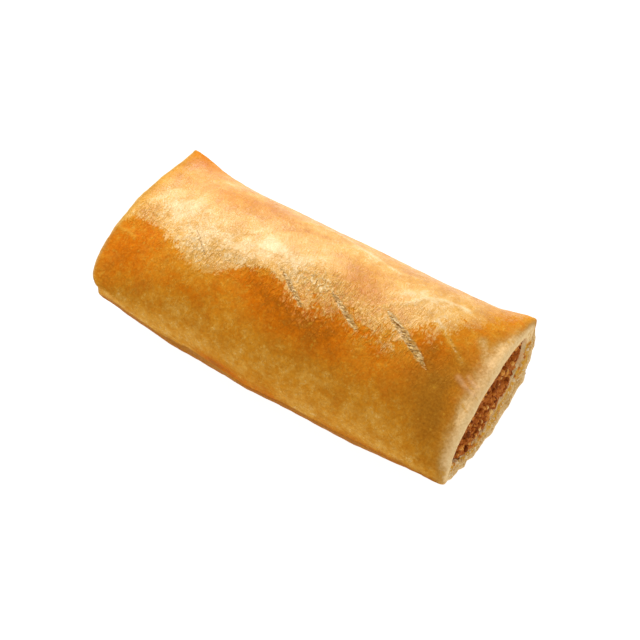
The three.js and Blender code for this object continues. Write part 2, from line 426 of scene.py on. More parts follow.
    def outside(self, station: Array, turn: Array) -> Array:
        """The points of the casing's outside.

        Args:
            station: The points' stations.
            turn: The points' turns.

        Returns:
            One point to a row.
        """
        sizes = self.sizes_at("casing", station)
        y, z = self.casing_outline(sizes, turn)
        across = y / sizes.half
        arch = np.sqrt(np.maximum(0.0, 1.0 - across**2))
        lips = (self.lip_right, self.lip_left)
        out = [arch * lip.out(lip.upper, lip.lower, across, turn < 1.0) for lip in lips]
        x = station + self.bulge(station, *out)
        for ear in self.ears:
            reach = smooth(1.0 - (self.half_length - ear.end * station) / self.ear_reach)
            weight = reach * np.maximum(0.0, ear.side * across) ** ear.sharpness
            x = x + ear.end * ear.along * weight
            y = y + ear.side * ear.out * weight
            z = z + ear.up * weight
        z = np.maximum(0.0, z)
        swell = humps(station, turn, self.swells) * smooth(z / self.swell_foot)
        reach = np.maximum(np.hypot(y, z - sizes.ear), TINY)
        return np.stack([x, y + swell * y / reach + sizes.shift, z + swell * (z - sizes.ear) / reach], 1)

    def inside(self, station: Array, turn: Array, gap: float = 0.0) -> Array:
        """The points of the tunnel's wall, or of what lies in it with a gap all round.

        Args:
            station: The points' stations.
            turn: The points' turns.
            gap: How far inside the wall they are.

        Returns:
            One point to a row.
        """
        sizes = self.sizes_at("tunnel", station)
        upper = turn <= 1.0
        angle = np.where(upper, math.pi * turn, math.pi * (FULL_TURN - turn) / LOWER_TURNS)
        across = np.cos(angle)
        arch = np.maximum(0.0, np.sin(angle))
        corner = mix(sizes.near_corner, sizes.far_corner, (1.0 + across) / 2.0)
        middle = np.where(upper, sizes.top - gap, sizes.bottom + gap)
        lips = (self.lip_right, self.lip_left)
        out = [arch * lip.out(lip.mouth_upper, lip.mouth_lower, across, upper) for lip in lips]
        x = station + self.bulge(station, *out)
        y = (sizes.half - 2.0 * gap) * across + sizes.shift
        return np.stack([x, y, mix(corner, middle, rounded(arch, sizes.round))], 1)

    def place(self, station: Array, turn: Array, across: Array) -> Array:
        """The points of the casing's skin, on its outside, its lips or its tunnel."""
        return mix(self.outside(station, turn), self.inside(station, turn), across[:, None])

    def settled(self, places: Array) -> Array:
        """The points in metres, with the middle of the base at the origin."""
        return (places + np.array(self.base_shift)) * MM


@dataclass(frozen=True)
class ScoreLine:
    """A score laid out on the crust: its ends, and the directions along it, across it and out of it."""

    score: Score
    form: RollForm

    def on_crust(self, share: Array) -> Array:
        """The points of the crust so far along the score, from 0 to 1."""
        (far_station, far_turn), (near_station, near_turn) = self.score.start, self.score.stop
        return self.form.outside(mix(far_station, near_station, share), mix(far_turn, near_turn, share))

    def axes(self) -> tuple[Array, Array, Array]:
        """The score's own directions.

        Returns:
            The unit directions along the score, across it and out of the crust.
        """
        start, stop = self.on_crust(np.array([0.0, 1.0]))
        along = unit(stop - start)
        above = unit(np.array([0.0, 0.0, 1.0]) - along * along[2])
        return along, np.cross(along, above), above

    def length(self) -> float:
        """The score's length."""
        return float(np.linalg.norm(np.subtract(*self.on_crust(np.array([0.0, 1.0])))))

    def half_width(self, share: Array) -> Array:
        """Half the score's width so far along it, which runs out at both ends."""
        return self.score.width / 2 * np.sqrt(np.maximum(0.0, 1.0 - (2.0 * share - 1.0) ** 2))

    def measure(self, places: Array) -> tuple[Array, Array]:
        """Measures where points lie beside the score.

        Args:
            places: The points.

        Returns:
            How far along the score each point lies, as a share, and how far to its side.
        """
        along, aside, _ = self.axes()
        start = self.on_crust(np.array([0.0]))[0]
        return (places - start) @ along / self.length(), (places - start) @ aside


# ---- Meshes ----


@dataclass(frozen=True)
class Skin:
    """Points laid out in a grid that closes round the roll, with the values that its finish reads."""

    places: Array
    values: dict[str, Array]
    lift: Array


def grid_shares(rows: int, columns: int) -> tuple[bmesh.types.BMesh, Array, Array]:
    """A flat grid, with how far along its rows and its columns each vertex lies.

    Args:
        rows: How many steps it has one way.
        columns: How many steps it has the other way.

    Returns:
        The grid and the whole number of steps of each vertex both ways.
    """
    half = 0.5
    grid = bmesh.new()
    bmesh.ops.create_grid(grid, x_segments=rows, y_segments=columns, size=half)
    flat = np.array([vert.co for vert in grid.verts])
    row = np.rint((flat[:, 0] + half) * rows).astype(int)
    column = np.rint((flat[:, 1] + half) * columns).astype(int)
    return grid, row, column


def linked(name: str, data: bpy.types.ID) -> bpy.types.Object:
    """Puts something in the scene.

    Args:
        name: The new object's name.
        data: Its mesh, light or camera.

    Returns:
        The object.
    """
    new = bpy.data.objects.new(name, data)
    bpy.context.scene.collection.objects.link(new)
    return new


def shown(name: str, shape: bmesh.types.BMesh) -> bpy.types.Object:
    """Makes a finished, smoothly shaded piece of a shape.

    Args:
        name: The piece's name.
        shape: Its shape, which is freed.

    Returns:
        The piece.
    """
    mesh = bpy.data.meshes.new(name)
    shape.to_mesh(mesh)
    shape.free()
    mesh.shade_smooth()
    return linked(name, mesh)


def wrapped(
    name: str, rows: int, columns: int, lay: Callable[[Array, Array], Skin]
) -> bpy.types.Object:
    """Wraps a grid round the roll, closes its seams and poles and raises its relief.

    Args:
        name: The piece's name.
        rows: Steps along the skin.
        columns: Steps round the roll.
        lay: Gives the skin's places and values for each vertex's row and column.

    Returns:
        The finished piece.
    """
    grid, row, column = grid_shares(rows, columns)
    skin = lay(row, column)
    layers = {value: grid.verts.layers.float.new(value) for value in (*skin.values, "lift")}
    for vert, place, rise in zip(grid.verts, skin.places.tolist(), skin.lift.tolist()):
        vert.co = place
        vert[layers["lift"]] = rise
    for value, amounts in skin.values.items():
        layer = layers[value]
        for vert, amount in zip(grid.verts, amounts.tolist()):
            vert[layer] = amount
    bmesh.ops.remove_doubles(grid, verts=grid.verts, dist=WELD)
    bmesh.ops.recalc_face_normals(grid, faces=grid.faces)
    grid.normal_update()
    rise = layers["lift"]
    moved = [vert.co + vert.normal * vert[rise] for vert in grid.verts]
    for vert, place in zip(grid.verts, moved):
        vert.co = (place.x, place.y, max(0.0, place.z))
    grid.verts.layers.float.remove(rise)
    return shown(name, grid)


@dataclass(frozen=True)
class Chip:
    """One small piece of a scatter: where it lies, how it is turned, its half sizes and its tint."""

    place: Vector
    turned: Matrix
    half: Vector
    tint: float


def tumbled(draw: np.random.Generator, axes: str) -> Matrix:
    """Turns a chip by chance.

    Args:
        draw: The source of chance.
        axes: The axes that it is turned about, in order.

    Returns:
        The chip's turn.
    """
    turned = Matrix.Identity(3)
    for axis in axes:
        turned = turned @ Matrix.Rotation(draw.uniform(0.0, math.tau), 3, axis)
    return turned


def scatter(name: str, chips: list[Chip], fineness: int, ragged: float) -> bpy.types.Object:
    """Makes one piece of many small uneven chips.

    Args:
        name: The piece's name.
        chips: The chips, in metres.
        fineness: Subdivisions of each chip's ball.
        ragged: How uneven each chip is, as a share of its size.

    Returns:
        The finished piece.
    """
    ball = bmesh.new()
    bmesh.ops.create_icosphere(ball, subdivisions=fineness, radius=1.0)
    one = bpy.data.meshes.new("ball")
    ball.to_mesh(one)
    ball.free()
    heap = bmesh.new()
    tint = heap.verts.layers.float.new("tint")
    for _ in chips:
        heap.from_mesh(one)
    verts = list(heap.verts)
    each = len(one.vertices)
    bpy.data.meshes.remove(one)
    for number, chip in enumerate(chips):
        offset = Vector([number * apart for apart in CHIP_APART])
        for vert in verts[number * each : (number + 1) * each]:
            uneven = 1.0 + ragged * noise.noise(vert.co * CHIP_LUMPS + offset)
            shaped = Vector(a * b for a, b in zip(vert.co * uneven, chip.half))
            vert.co = chip.place + chip.turned @ shaped
            vert[tint] = chip.tint
    return shown(name, heap)


# ---- Finishes ----


class Bench:
    """Adds nodes to a tree and joins them, one short call each."""

    def __init__(self, tree: Tree) -> None:
        """Starts on an empty tree."""
        self.tree = tree
        tree.nodes.clear()

    def add(self, kind: str, inputs: dict | None = None, **settings) -> bpy.types.Node:
        """Adds a node.

        Args:
            kind: Blender's name for the node's type, without its prefix.
            inputs: Values or sockets for its inputs, by name or number.
            settings: The node's own settings.

        Returns:
            The node.
        """
        node = self.tree.nodes.new(kind if kind.startswith("Node") else f"ShaderNode{kind}")
        for setting, value in settings.items():
            setattr(node, setting, value)
        for socket, value in (inputs or {}).items():
            if isinstance(value, Socket):
                self.tree.links.new(value, node.inputs[socket])
            else:
                node.inputs[socket].default_value = value
        return node

    def value(self, name: str) -> Socket:
        """What the piece's mesh says at each point under that name."""
        return self.add("Attribute", attribute_name=name).outputs["Fac"]

    def place(self) -> Socket:
        """The place on the piece, in metres."""
        return self.add("TexCoord").outputs["Object"]

    def math(self, operation: str, *values: object, clamped: bool = False) -> Socket:
        """One step of arithmetic on values, held between 0 and 1 if it is clamped."""
        return self.add("Math", dict(enumerate(values)), operation=operation, use_clamp=clamped).outputs[0]

    def times(self, first: object, second: object) -> Socket:
        """The product of two values, held between 0 and 1."""
        return self.math("MULTIPLY", first, second, clamped=True)

    def centred(self, value: object) -> Socket:
        """A value less one half, so that it runs both ways from none."""
        return self.math("SUBTRACT", value, 0.5)

    def added(self, total: object, *more: tuple[object, object]) -> Socket:
        """Adds further values to a first one.

        Args:
            total: The first value.
            more: Each further value with the share of it that is added.

        Returns:
            The sum.
        """
        for value, share in more:
            total = self.math("MULTIPLY_ADD", value, share, total)
        return total

    def mix(self, share: object, first: object, second: object) -> Socket:
        """A value between two others."""
        return self.add("Mix", {0: share, 2: first, 3: second}, data_type="FLOAT").outputs[0]

    def ranged(
        self, value: object, low: float, high: float, to_low: float = 0.0, to_high: float = 1.0
    ) -> Socket:
        """Spreads a value from one range over another, held to it."""
        inputs = {"Value": value, "From Min": low, "From Max": high, "To Min": to_low, "To Max": to_high}
        return self.add("MapRange", inputs).outputs["Result"]

    def noise(self, place: Socket, scale: object, detail: float = 2.0, **more: float) -> Socket:
        """Natural noise over places.

        Args:
            place: The places.
            scale: How many lumps it has to the metre.
            detail: How many finer layers it has.
            more: Its roughness and distortion, where they aren't the usual ones.

        Returns:
            The noise's value, about 0 to 1.
        """
        inputs = {name.capitalize(): value for name, value in more.items()}
        inputs.update({"Vector": place, "Scale": scale, "Detail": detail})
        return self.add("TexNoise", inputs).outputs["Fac"]

    def blend(self, share: object, first: object, second: object, how: str = "MIX") -> Socket:
        """One colour laid over another."""
        node = self.add("Mix", {0: share, 6: first, 7: second}, data_type="RGBA", blend_type=how)
        return node.outputs[2]

    def ramp(self, value: object, stages: Stages) -> Socket:
        """A colour that runs through stages as a value rises.

        Args:
            value: The value.
            stages: Each stage's value and colour.

        Returns:
            The colour.
        """
        node = self.add("ValToRGB", {"Fac": value})
        elements = node.color_ramp.elements
        while len(elements) < len(stages):
            elements.new(1.0)
        for element, (position, colour) in zip(elements, stages):
            element.position = position
            element.color = colour
        return node.outputs["Color"]

    def bump(self, height: Socket, strength: float, depth: float) -> Socket:
        """The direction of a surface with that fine relief, whose depth is in metres."""
        inputs = {"Height": height, "Strength": strength, "Distance": depth}
        return self.add("Bump", inputs).outputs["Normal"]

    def group(self, tree: Tree, **inputs) -> bpy.types.Node:
        """A shared effect with those inputs."""
        return self.add("Group", inputs, node_tree=tree)

    def surface(self, inputs: dict) -> None:
        """Ends the tree in a surface with those inputs."""
        shader = self.add("BsdfPrincipled", inputs)
        self.add("OutputMaterial", {"Surface": shader.outputs["BSDF"]})


class Groups:
    """The effects that several finishes share, each built once."""

    # Between which values of its noise each effect fades in, how wide a thread is, and how creases stretch.
    NOISE_SPAN = (0.3, 0.7)
    THREAD_WIDTH = 0.055
    BREAK_SPAN = (0.44, 0.58)
    CREASE_SPAN = (0.32, 0.68)
    CREASE_STRETCH = (1.0, 0.36, 0.5)

    @staticmethod
    def start(name: str, inputs: dict[str, str], outputs: tuple[str, ...]) -> tuple[Bench, SimpleNamespace]:
        """Starts a group with named inputs and outputs.

        Args:
            name: The group's name.
            inputs: The kind of each input, by name.
            outputs: The names of its outputs, which are values.

        Returns:
            A bench on the group's tree, and what its inputs give.
        """
        tree = bpy.data.node_groups.new(name, "ShaderNodeTree")
        for socket, kind in inputs.items():
            tree.interface.new_socket(socket, in_out="INPUT", socket_type=f"NodeSocket{kind}")
        for socket in outputs:
            tree.interface.new_socket(socket, in_out="OUTPUT", socket_type="NodeSocketFloat")
        bench = Bench(tree)
        given = bench.add("NodeGroupInput").outputs
        return bench, SimpleNamespace(**{socket.lower(): given[socket] for socket in inputs})

    @classmethod
    def mottle(cls) -> Tree:
        """Uneven patches with finer ones in them, as baking and mincing leave.

        Returns:
            The group's tree.
        """
        inputs = {"Place": "Vector", "Patches": "Float", "Flecks": "Float"}
        bench, given = cls.start("Mottle", inputs, ("Tone", "Fleck"))
        broad = bench.noise(given.place, given.patches, detail=4.0, roughness=0.6)
        fine = bench.noise(given.place, given.flecks, detail=3.0, roughness=0.6)
        tone = bench.ranged(broad, *cls.NOISE_SPAN)
        fleck = bench.ranged(fine, *cls.NOISE_SPAN)
        bench.add("NodeGroupOutput", {"Tone": tone, "Fleck": fleck})
        return bench.tree

    @classmethod
    def grain(cls) -> Tree:
        """Fine pits and fibres, as a height.

        Returns:
            The group's tree.
        """
        inputs = {"Place": "Vector", "Fineness": "Float", "Pits": "Float"}
        bench, given = cls.start("Grain", inputs, ("Height",))
        fibres = bench.noise(given.place, given.fineness, detail=4.0, roughness=0.65, distortion=0.6)
        pits = bench.add("TexVoronoi", {"Vector": given.place, "Scale": given.fineness}, feature="SMOOTH_F1")
        sunk = bench.math("MULTIPLY", pits.outputs["Distance"], given.pits)
        bench.add("NodeGroupOutput", {"Height": bench.math("SUBTRACT", fibres, sunk)})
        return bench.tree

    @classmethod
    def strands(cls) -> Tree:
        """Thin light threads that wander over a skin, and the creases that run across the roll.

        Returns:
            The group's tree.
        """
        inputs = {"Place": "Vector", "Threads": "Float", "Breaks": "Float", "Creases": "Float"}
        bench, given = cls.start("Strands", inputs, ("Thread", "Crease"))
        field = bench.noise(given.place, given.threads, distortion=1.8)
        line = bench.ranged(bench.math("ABSOLUTE", bench.centred(field)), 0.0, cls.THREAD_WIDTH, 1.0, 0.0)
        kept = bench.ranged(bench.noise(given.place, given.breaks), *cls.BREAK_SPAN)
        drawn = bench.add("Mapping", {"Vector": given.place, "Scale": cls.CREASE_STRETCH}).outputs[0]
        crease = bench.ranged(bench.noise(drawn, given.creases, distortion=1.7), *cls.CREASE_SPAN)
        bench.add("NodeGroupOutput", {"Thread": bench.times(line, kept), "Crease": crease})
        return bench.tree


def rgb(red: float, green: float, blue: float) -> Colour:
    """An opaque colour in linear light."""
    return (red, green, blue, 1.0)


def started(name: str) -> tuple[bpy.types.Material, Bench]:
    """Starts a material.

    Args:
        name: The material's name.

    Returns:
        The material, and a bench on its empty tree.
    """
    made = bpy.data.materials.new(name)
    made.use_nodes = True
    return made, Bench(made.node_tree)


@dataclass(frozen=True)
class BakedCrust:
    """Egg-washed pastry: golden to brown as it bakes, pale where it is torn or was folded under, with
    painted shade and painted highlight in its colour.
    """

    name: str = "baked_crust"
    stages: Stages = (
        # The palest stage is partly painted highlight, pale enough to stand for light shining on the glazed
        # crown.
        (0.0, rgb(0.95, 0.68, 0.34)),
        (0.25, rgb(0.82, 0.43, 0.07)),
        (0.5, rgb(0.68, 0.262, 0.014)),
        (0.75, rgb(0.65, 0.165, 0.001)),
        (1.0, rgb(0.40, 0.11, 0.002)),
    )
    dough: Stages = (
        # The two lowest, brown stages paint a band of shade where the pale dough begins; the others are its
        # own colour.
        (0.1, rgb(0.50, 0.24, 0.04)),
        (0.3, rgb(0.52, 0.30, 0.08)),
        (0.65, rgb(0.86, 0.55, 0.24)),
        (1.0, rgb(1.0, 0.72, 0.36)),
    )
    torn: Stages = (
        (0.1, rgb(0.48, 0.22, 0.04)),
        (0.4, rgb(0.71, 0.43, 0.15)),
        (0.8, rgb(0.86, 0.65, 0.36)),
    )
    opened: Stages = (
        (0.15, rgb(0.52, 0.25, 0.04)),
        (0.45, rgb(0.66, 0.40, 0.13)),
        (0.85, rgb(0.80, 0.58, 0.30)),
    )
    # Painted shade in the pits: the colour is multiplied darker where the grain sinks.
    pit_shade_stages: Stages = ((0.15, rgb(0.84, 0.79, 0.70)), (0.45, rgb(1.0, 1.0, 1.0)))
    stain: Colour = rgb(0.68, 0.33, 0.03)
    # A dull brown painted as shade on the sides turned away from the key light.
    painted_shade: Colour = rgb(0.42, 0.158, 0.010)
    # A darker brown painted as shade where the sides turn under towards the base.
    painted_foot_shade: Colour = rgb(0.40, 0.125, 0.005)
    pink: Colour = rgb(0.86, 0.50, 0.27)
    # Painted specks of shade and highlight, multiplied into the colour.
    painted_speck_shade: Colour = rgb(0.87, 0.81, 0.68)
    painted_speck_highlight: Colour = rgb(1.13, 1.20, 1.33)

    # The fineness of its effects, in lumps to the metre, and how deep the pits are.
    patches: float = 170.0
    flecks: float = 1150.0
    tear_patches: float = 420.0
    tear_flecks: float = 1500.0
    fineness: float = 1500.0
    threads: float = 640.0
    breaks: float = 520.0
    creases: float = 900.0
    pits: float = 0.5

    # How unevenness moves the edge of the egg wash and its painted highlight, and how far the edge spreads.
    edge_fleck: float = 0.8
    edge_patch: float = 2.6
    edge_speck: float = 1.9
    edge_crease: float = 1.6
    edge_reach: float = 0.7

    # How much unevenness tints the crust, where it is bare and where it is washed; threads, where it is
    # smooth and where it is wrinkled; the folds' tint is painted shade in creases and painted highlight on
    # crests.
    tint_patch: Range = (0.13, 0.2)
    tint_speck: Range = (0.24, 0.1)
    tint_fleck: Range = (0.1, 0.11)
    tint_thread: Range = (-0.22, -0.4)
    painted_fold_shade: float = -0.45

    # How ragged the edges of what lies over the browning are, and between which values each fades in; how
    # much painted shade the pits lay on, and how much of the painted specks of shade and highlight each part
    # takes.
    painted_shade_ragged: float = 0.25
    dough_ragged: float = 0.12
    dough_fade: Range = (0.0, 0.55)
    stain_ragged: float = 1.4
    stain_fade: Range = (0.35, 0.95)
    score_ragged: float = 0.6
    score_fade: Range = (0.3, 0.8)
    torn_broad: float = 0.6
    torn_fine: float = 0.4
    pits_shade: float = 0.6
    painted_speck_share: float = 0.95
    painted_speck_dough: float = -0.7
    painted_speck_washed: float = -0.5

    # The fine relief, and the sheen.
    grain_height: float = 0.45
    fold_height: float = 2.0
    thread_height: float = 0.12
    bump_strength: float = 0.8
    bump_depth: float = 0.0004
    roughness: Range = (0.65, 0.45)
    gloss_uneven: float = 0.3
    specular: float = 0.03
    coat_roughness: float = 0.28
    coat_ior: float = 1.5

    def effects(self, bench: Bench, groups: dict[str, Tree]) -> SimpleNamespace:
        """Lays the shared effects over the crust, each at the crust's own fineness.

        Args:
            bench: The material's bench.
            groups: The shared effects by name.

        Returns:
            What each effect gives. Its patch, fleck, speck and crease run both ways from none.
        """
        place = bench.place()
        mottle = bench.group(groups["mottle"], Place=place, Patches=self.patches, Flecks=self.flecks)
        tear = bench.group(groups["mottle"], Place=place, Patches=self.tear_patches, Flecks=self.tear_flecks)
        grain = bench.group(groups["grain"], Place=place, Fineness=self.fineness, Pits=self.pits)
        scales = {"Threads": self.threads, "Breaks": self.breaks, "Creases": self.creases}
        strands = bench.group(groups["strands"], Place=place, **scales)
        torn = bench.times(tear.outputs["Tone"], self.torn_broad)
        crease = bench.centred(strands.outputs["Crease"])
        wrinkle = bench.value("wrinkle")
        return SimpleNamespace(
            patch=bench.centred(mottle.outputs["Tone"]),
            fleck=bench.centred(mottle.outputs["Fleck"]),
            flecks=mottle.outputs["Fleck"],
            speck=bench.centred(tear.outputs["Tone"]),
            torn=bench.added(torn, (tear.outputs["Fleck"], self.torn_fine)),
            grain=grain.outputs["Height"],
            thread=strands.outputs["Thread"],
            crease=crease,
            wrinkle=wrinkle,
            folded=bench.math("MULTIPLY", crease, wrinkle),
        )

    def tone(self, bench: Bench, seen: SimpleNamespace) -> tuple[Socket, Socket]:
        """Works out the browning.

        Args:
            bench: The material's bench.
            seen: What the shared effects give.

        Returns:
            How brown the crust is at each point, and how far the egg wash, with its painted highlight,
            covers it.
        """
        edge = bench.added(
            bench.value("wash_and_painted_highlight"),
            (seen.fleck, self.edge_fleck),
            (seen.patch, self.edge_patch),
            (seen.speck, self.edge_speck),
            (seen.crease, self.edge_crease),
        )
        # The egg wash's mask, which also paints the pale highlight on the glazed crown.
        washed_and_painted_highlight = bench.ranged(edge, -self.edge_reach, self.edge_reach)
        tone = bench.mix(washed_and_painted_highlight, bench.value("bake"), bench.value("gold"))
        tints = (
            (seen.patch, washed_and_painted_highlight, self.tint_patch),
            (seen.speck, washed_and_painted_highlight, self.tint_speck),
            (seen.fleck, washed_and_painted_highlight, self.tint_fleck),
            (seen.thread, seen.wrinkle, self.tint_thread),
        )
        for effect, share, ends in tints:
            tone = bench.added(tone, (effect, bench.mix(share, *ends)))
        return bench.added(tone, (seen.folded, self.painted_fold_shade)), washed_and_painted_highlight

    def colour(self, bench: Bench, seen: SimpleNamespace, tone: Socket, washed_and_painted_highlight: Socket) -> Socket:
        """Lays one colour over another, from the browning, its painted shade and painted highlight to the
        finest painted specks.

        Args:
            bench: The material's bench.
            seen: What the shared effects give.
            tone: How brown the crust is.
            washed_and_painted_highlight: How far the egg wash, with its painted highlight, covers it.

        Returns:
            The crust's colour.
        """
        dough = bench.value("dough")
        painted_shade = bench.added(bench.value("painted_shade"), (seen.patch, self.painted_shade_ragged))
        pale = bench.added(dough, (seen.fleck, self.dough_ragged))
        stain = bench.added(bench.value("stain"), (seen.speck, self.stain_ragged))
        score = bench.added(bench.value("score"), (seen.fleck, self.score_ragged))
        ragged = bench.added(pale, (seen.patch, self.dough_ragged))
        colour = bench.ramp(tone, self.stages)
        layers = (
            # Painted shade on the sides turned away from the light.
            (painted_shade, self.painted_shade),
            # Painted shade at the foot.
            (bench.value("painted_foot_shade"), self.painted_foot_shade),
            (bench.ranged(ragged, *self.dough_fade), bench.ramp(pale, self.dough)),
            (bench.value("pink"), self.pink),
            (bench.value("crumb"), bench.ramp(seen.torn, self.torn)),
            (bench.ranged(stain, *self.stain_fade), self.stain),
            (bench.ranged(score, *self.score_fade), bench.ramp(seen.torn, self.opened)),
        )
        for share, over in layers:
            colour = bench.blend(share, colour, over)
        # Painted shade in the grain's pits.
        colour = bench.blend(self.pits_shade, colour, bench.ramp(seen.grain, self.pit_shade_stages), "MULTIPLY")
        # Painted specks of shade and highlight, more on bare crust than on dough and egg wash.
        painted_specks = bench.blend(seen.flecks, self.painted_speck_shade, self.painted_speck_highlight)
        painted_speck_share = bench.added(self.painted_speck_share, (dough, self.painted_speck_dough), (washed_and_painted_highlight, self.painted_speck_washed))
        return bench.blend(painted_speck_share, colour, painted_specks, "MULTIPLY")

    def material(self, groups: dict[str, Tree]) -> bpy.types.Material:
        """Builds the material.

        Args:
            groups: The shared effects by name.

        Returns:
            The material.
        """
        made, bench = started(self.name)
        seen = self.effects(bench, groups)
        tone, washed_and_painted_highlight = self.tone(bench, seen)
        gloss = bench.value("gloss")
        height = bench.added(
            bench.times(seen.grain, self.grain_height),
            (seen.folded, self.fold_height),
            (seen.thread, self.thread_height),
        )
        relief = bench.bump(height, self.bump_strength, self.bump_depth)
        bench.surface(
            {
                "Base Color": self.colour(bench, seen, tone, washed_and_painted_highlight),
                "Roughness": bench.ranged(gloss, 0.0, 1.0, *self.roughness),
                "Normal": relief,
                "Specular IOR Level": self.specular,
                "Coat Weight": bench.times(bench.added(gloss, (seen.fleck, self.gloss_uneven)), washed_and_painted_highlight),
                "Coat Roughness": self.coat_roughness,
                "Coat IOR": self.coat_ior,
                "Coat Normal": relief,
            }
        )
        return made


@dataclass(frozen=True)
class Crumb:
    """A small-grained matt or moist finish, whose tint runs through a few stages."""

    name: str
    stages: Stages
    roughness: float = 0.7
    uneven_roughness: float = 0.15
    specular: float = 0.2
    wet: float = 0.0
    wet_roughness: float = 0.3
    patches: float = 700.0
    flecks: float = 2200.0
    fineness: float = 2600.0
    pits: float = 0.6
    tint_patch: float = 0.3
    tint_fleck: float = 0.25
    tint_middle: float = 0.27
    bump_strength: float = 0.6
    bump_depth: float = 0.0002

    def material(self, groups: dict[str, Tree]) -> bpy.types.Material:
        """Builds the material.

        Args:
            groups: The shared effects by name.

        Returns:
            The material.
        """
        made, bench = started(self.name)
        place = bench.place()
        mottle = bench.group(groups["mottle"], Place=place, Patches=self.patches, Flecks=self.flecks)
        grain = bench.group(groups["grain"], Place=place, Fineness=self.fineness, Pits=self.pits)
        patch, fleck = mottle.outputs["Tone"], mottle.outputs["Fleck"]
        tint = bench.added(bench.value("tint"), (patch, self.tint_patch), (fleck, self.tint_fleck))
        roughest = self.roughness + self.uneven_roughness
        bench.surface(
            {
                "Base Color": bench.ramp(bench.math("SUBTRACT", tint, self.tint_middle), self.stages),
                "Roughness": bench.ranged(fleck, 0.0, 1.0, self.roughness, roughest),
                "Normal": bench.bump(grain.outputs["Height"], self.bump_strength, self.bump_depth),
                "Specular IOR Level": self.specular,
                "Coat Weight": self.wet,
                "Coat Roughness": self.wet_roughness,
            }
        )
        return made


class Finish(Enum):
    """The finishes of the roll's pieces."""

    CRUST = BakedCrust()
    CRUMB = Crumb(
        "torn_crumb",
        (
            (0.0, rgb(0.50, 0.24, 0.05)),
            (0.35, rgb(0.70, 0.42, 0.14)),
            (0.7, rgb(0.82, 0.59, 0.29)),
            (1.0, rgb(0.90, 0.71, 0.44)),
        ),
    )
    SCORE = Crumb(
        "score_crumb",
        (
            (0.0, rgb(0.42, 0.19, 0.03)),
            (0.3, rgb(0.64, 0.37, 0.10)),
            (0.6, rgb(0.84, 0.55, 0.20)),
            (1.0, rgb(0.93, 0.73, 0.41)),
        ),
    )
    MINCE = Crumb(
        "fish_mince",
        (
            (0.0, rgb(0.17, 0.033, 0.004)),
            (0.3, rgb(0.38, 0.092, 0.009)),
            (0.55, rgb(0.58, 0.17, 0.022)),
            (0.8, rgb(0.78, 0.33, 0.055)),
            (1.0, rgb(0.90, 0.55, 0.17)),
        ),
        roughness=0.5,
        specular=0.03,
        wet=0.03,
        patches=420.0,
        flecks=1300.0,
        fineness=1400.0,
        bump_depth=0.0004,
    )


# ---- The casing ----


@dataclass(frozen=True)
class LipProfile:
    """The profile of a lip, from the outside over its edge into the mouth."""

    outer_back: float
    outer_across: float
    inner_back: float = 0.9
    inner_across: float = 0.16
    outer_steps: int = 9
    flat_steps: int = 9
    inner_steps: int = 5
    torn_rise: float = 0.07
    torn_end: float = 1.15
    torn_fall: float = 0.3

    def rings(self) -> tuple[Array, Array, Array]:
        """The lip's rings.

        Returns:
            How far across and back each ring lies, and how torn the crumb is there.
        """
        outer = np.linspace(0.0, math.pi / 2, self.outer_steps, endpoint=False)[1:]
        inner = np.linspace(math.pi / 2, 0.0, self.inner_steps, endpoint=False)
        flat = np.linspace(self.outer_across, 1.0 - self.inner_across, self.flat_steps, endpoint=False)
        outer_across = self.outer_across * (1.0 - np.cos(outer))
        inner_across = 1.0 - self.inner_across * (1.0 - np.cos(inner))
        outer_back = self.outer_back * (1.0 - np.sin(outer))
        inner_back = self.inner_back * (1.0 - np.sin(inner))
        across = np.concatenate([outer_across, flat, inner_across])
        back = np.concatenate([outer_back, np.zeros(self.flat_steps), inner_back])
        torn = smooth(across / self.torn_rise) * smooth((self.torn_end - across) / self.torn_fall)
        return across, back, torn


@dataclass(frozen=True)
class CasingPoints:
    """The points of the casing's skin: how torn, how low and how far out each lies, and its unevenness."""

    station: Array
    turn: Array
    across: Array
    torn: Array
    low: Array
    outer: Array
    places: Array
    broad: Array
    medium: Array
    fine: Array

    def humps(self, spots: tuple[Spot, ...]) -> Array:
        """The humps of those spots, at each point."""
        return humps(self.station, self.turn, spots)


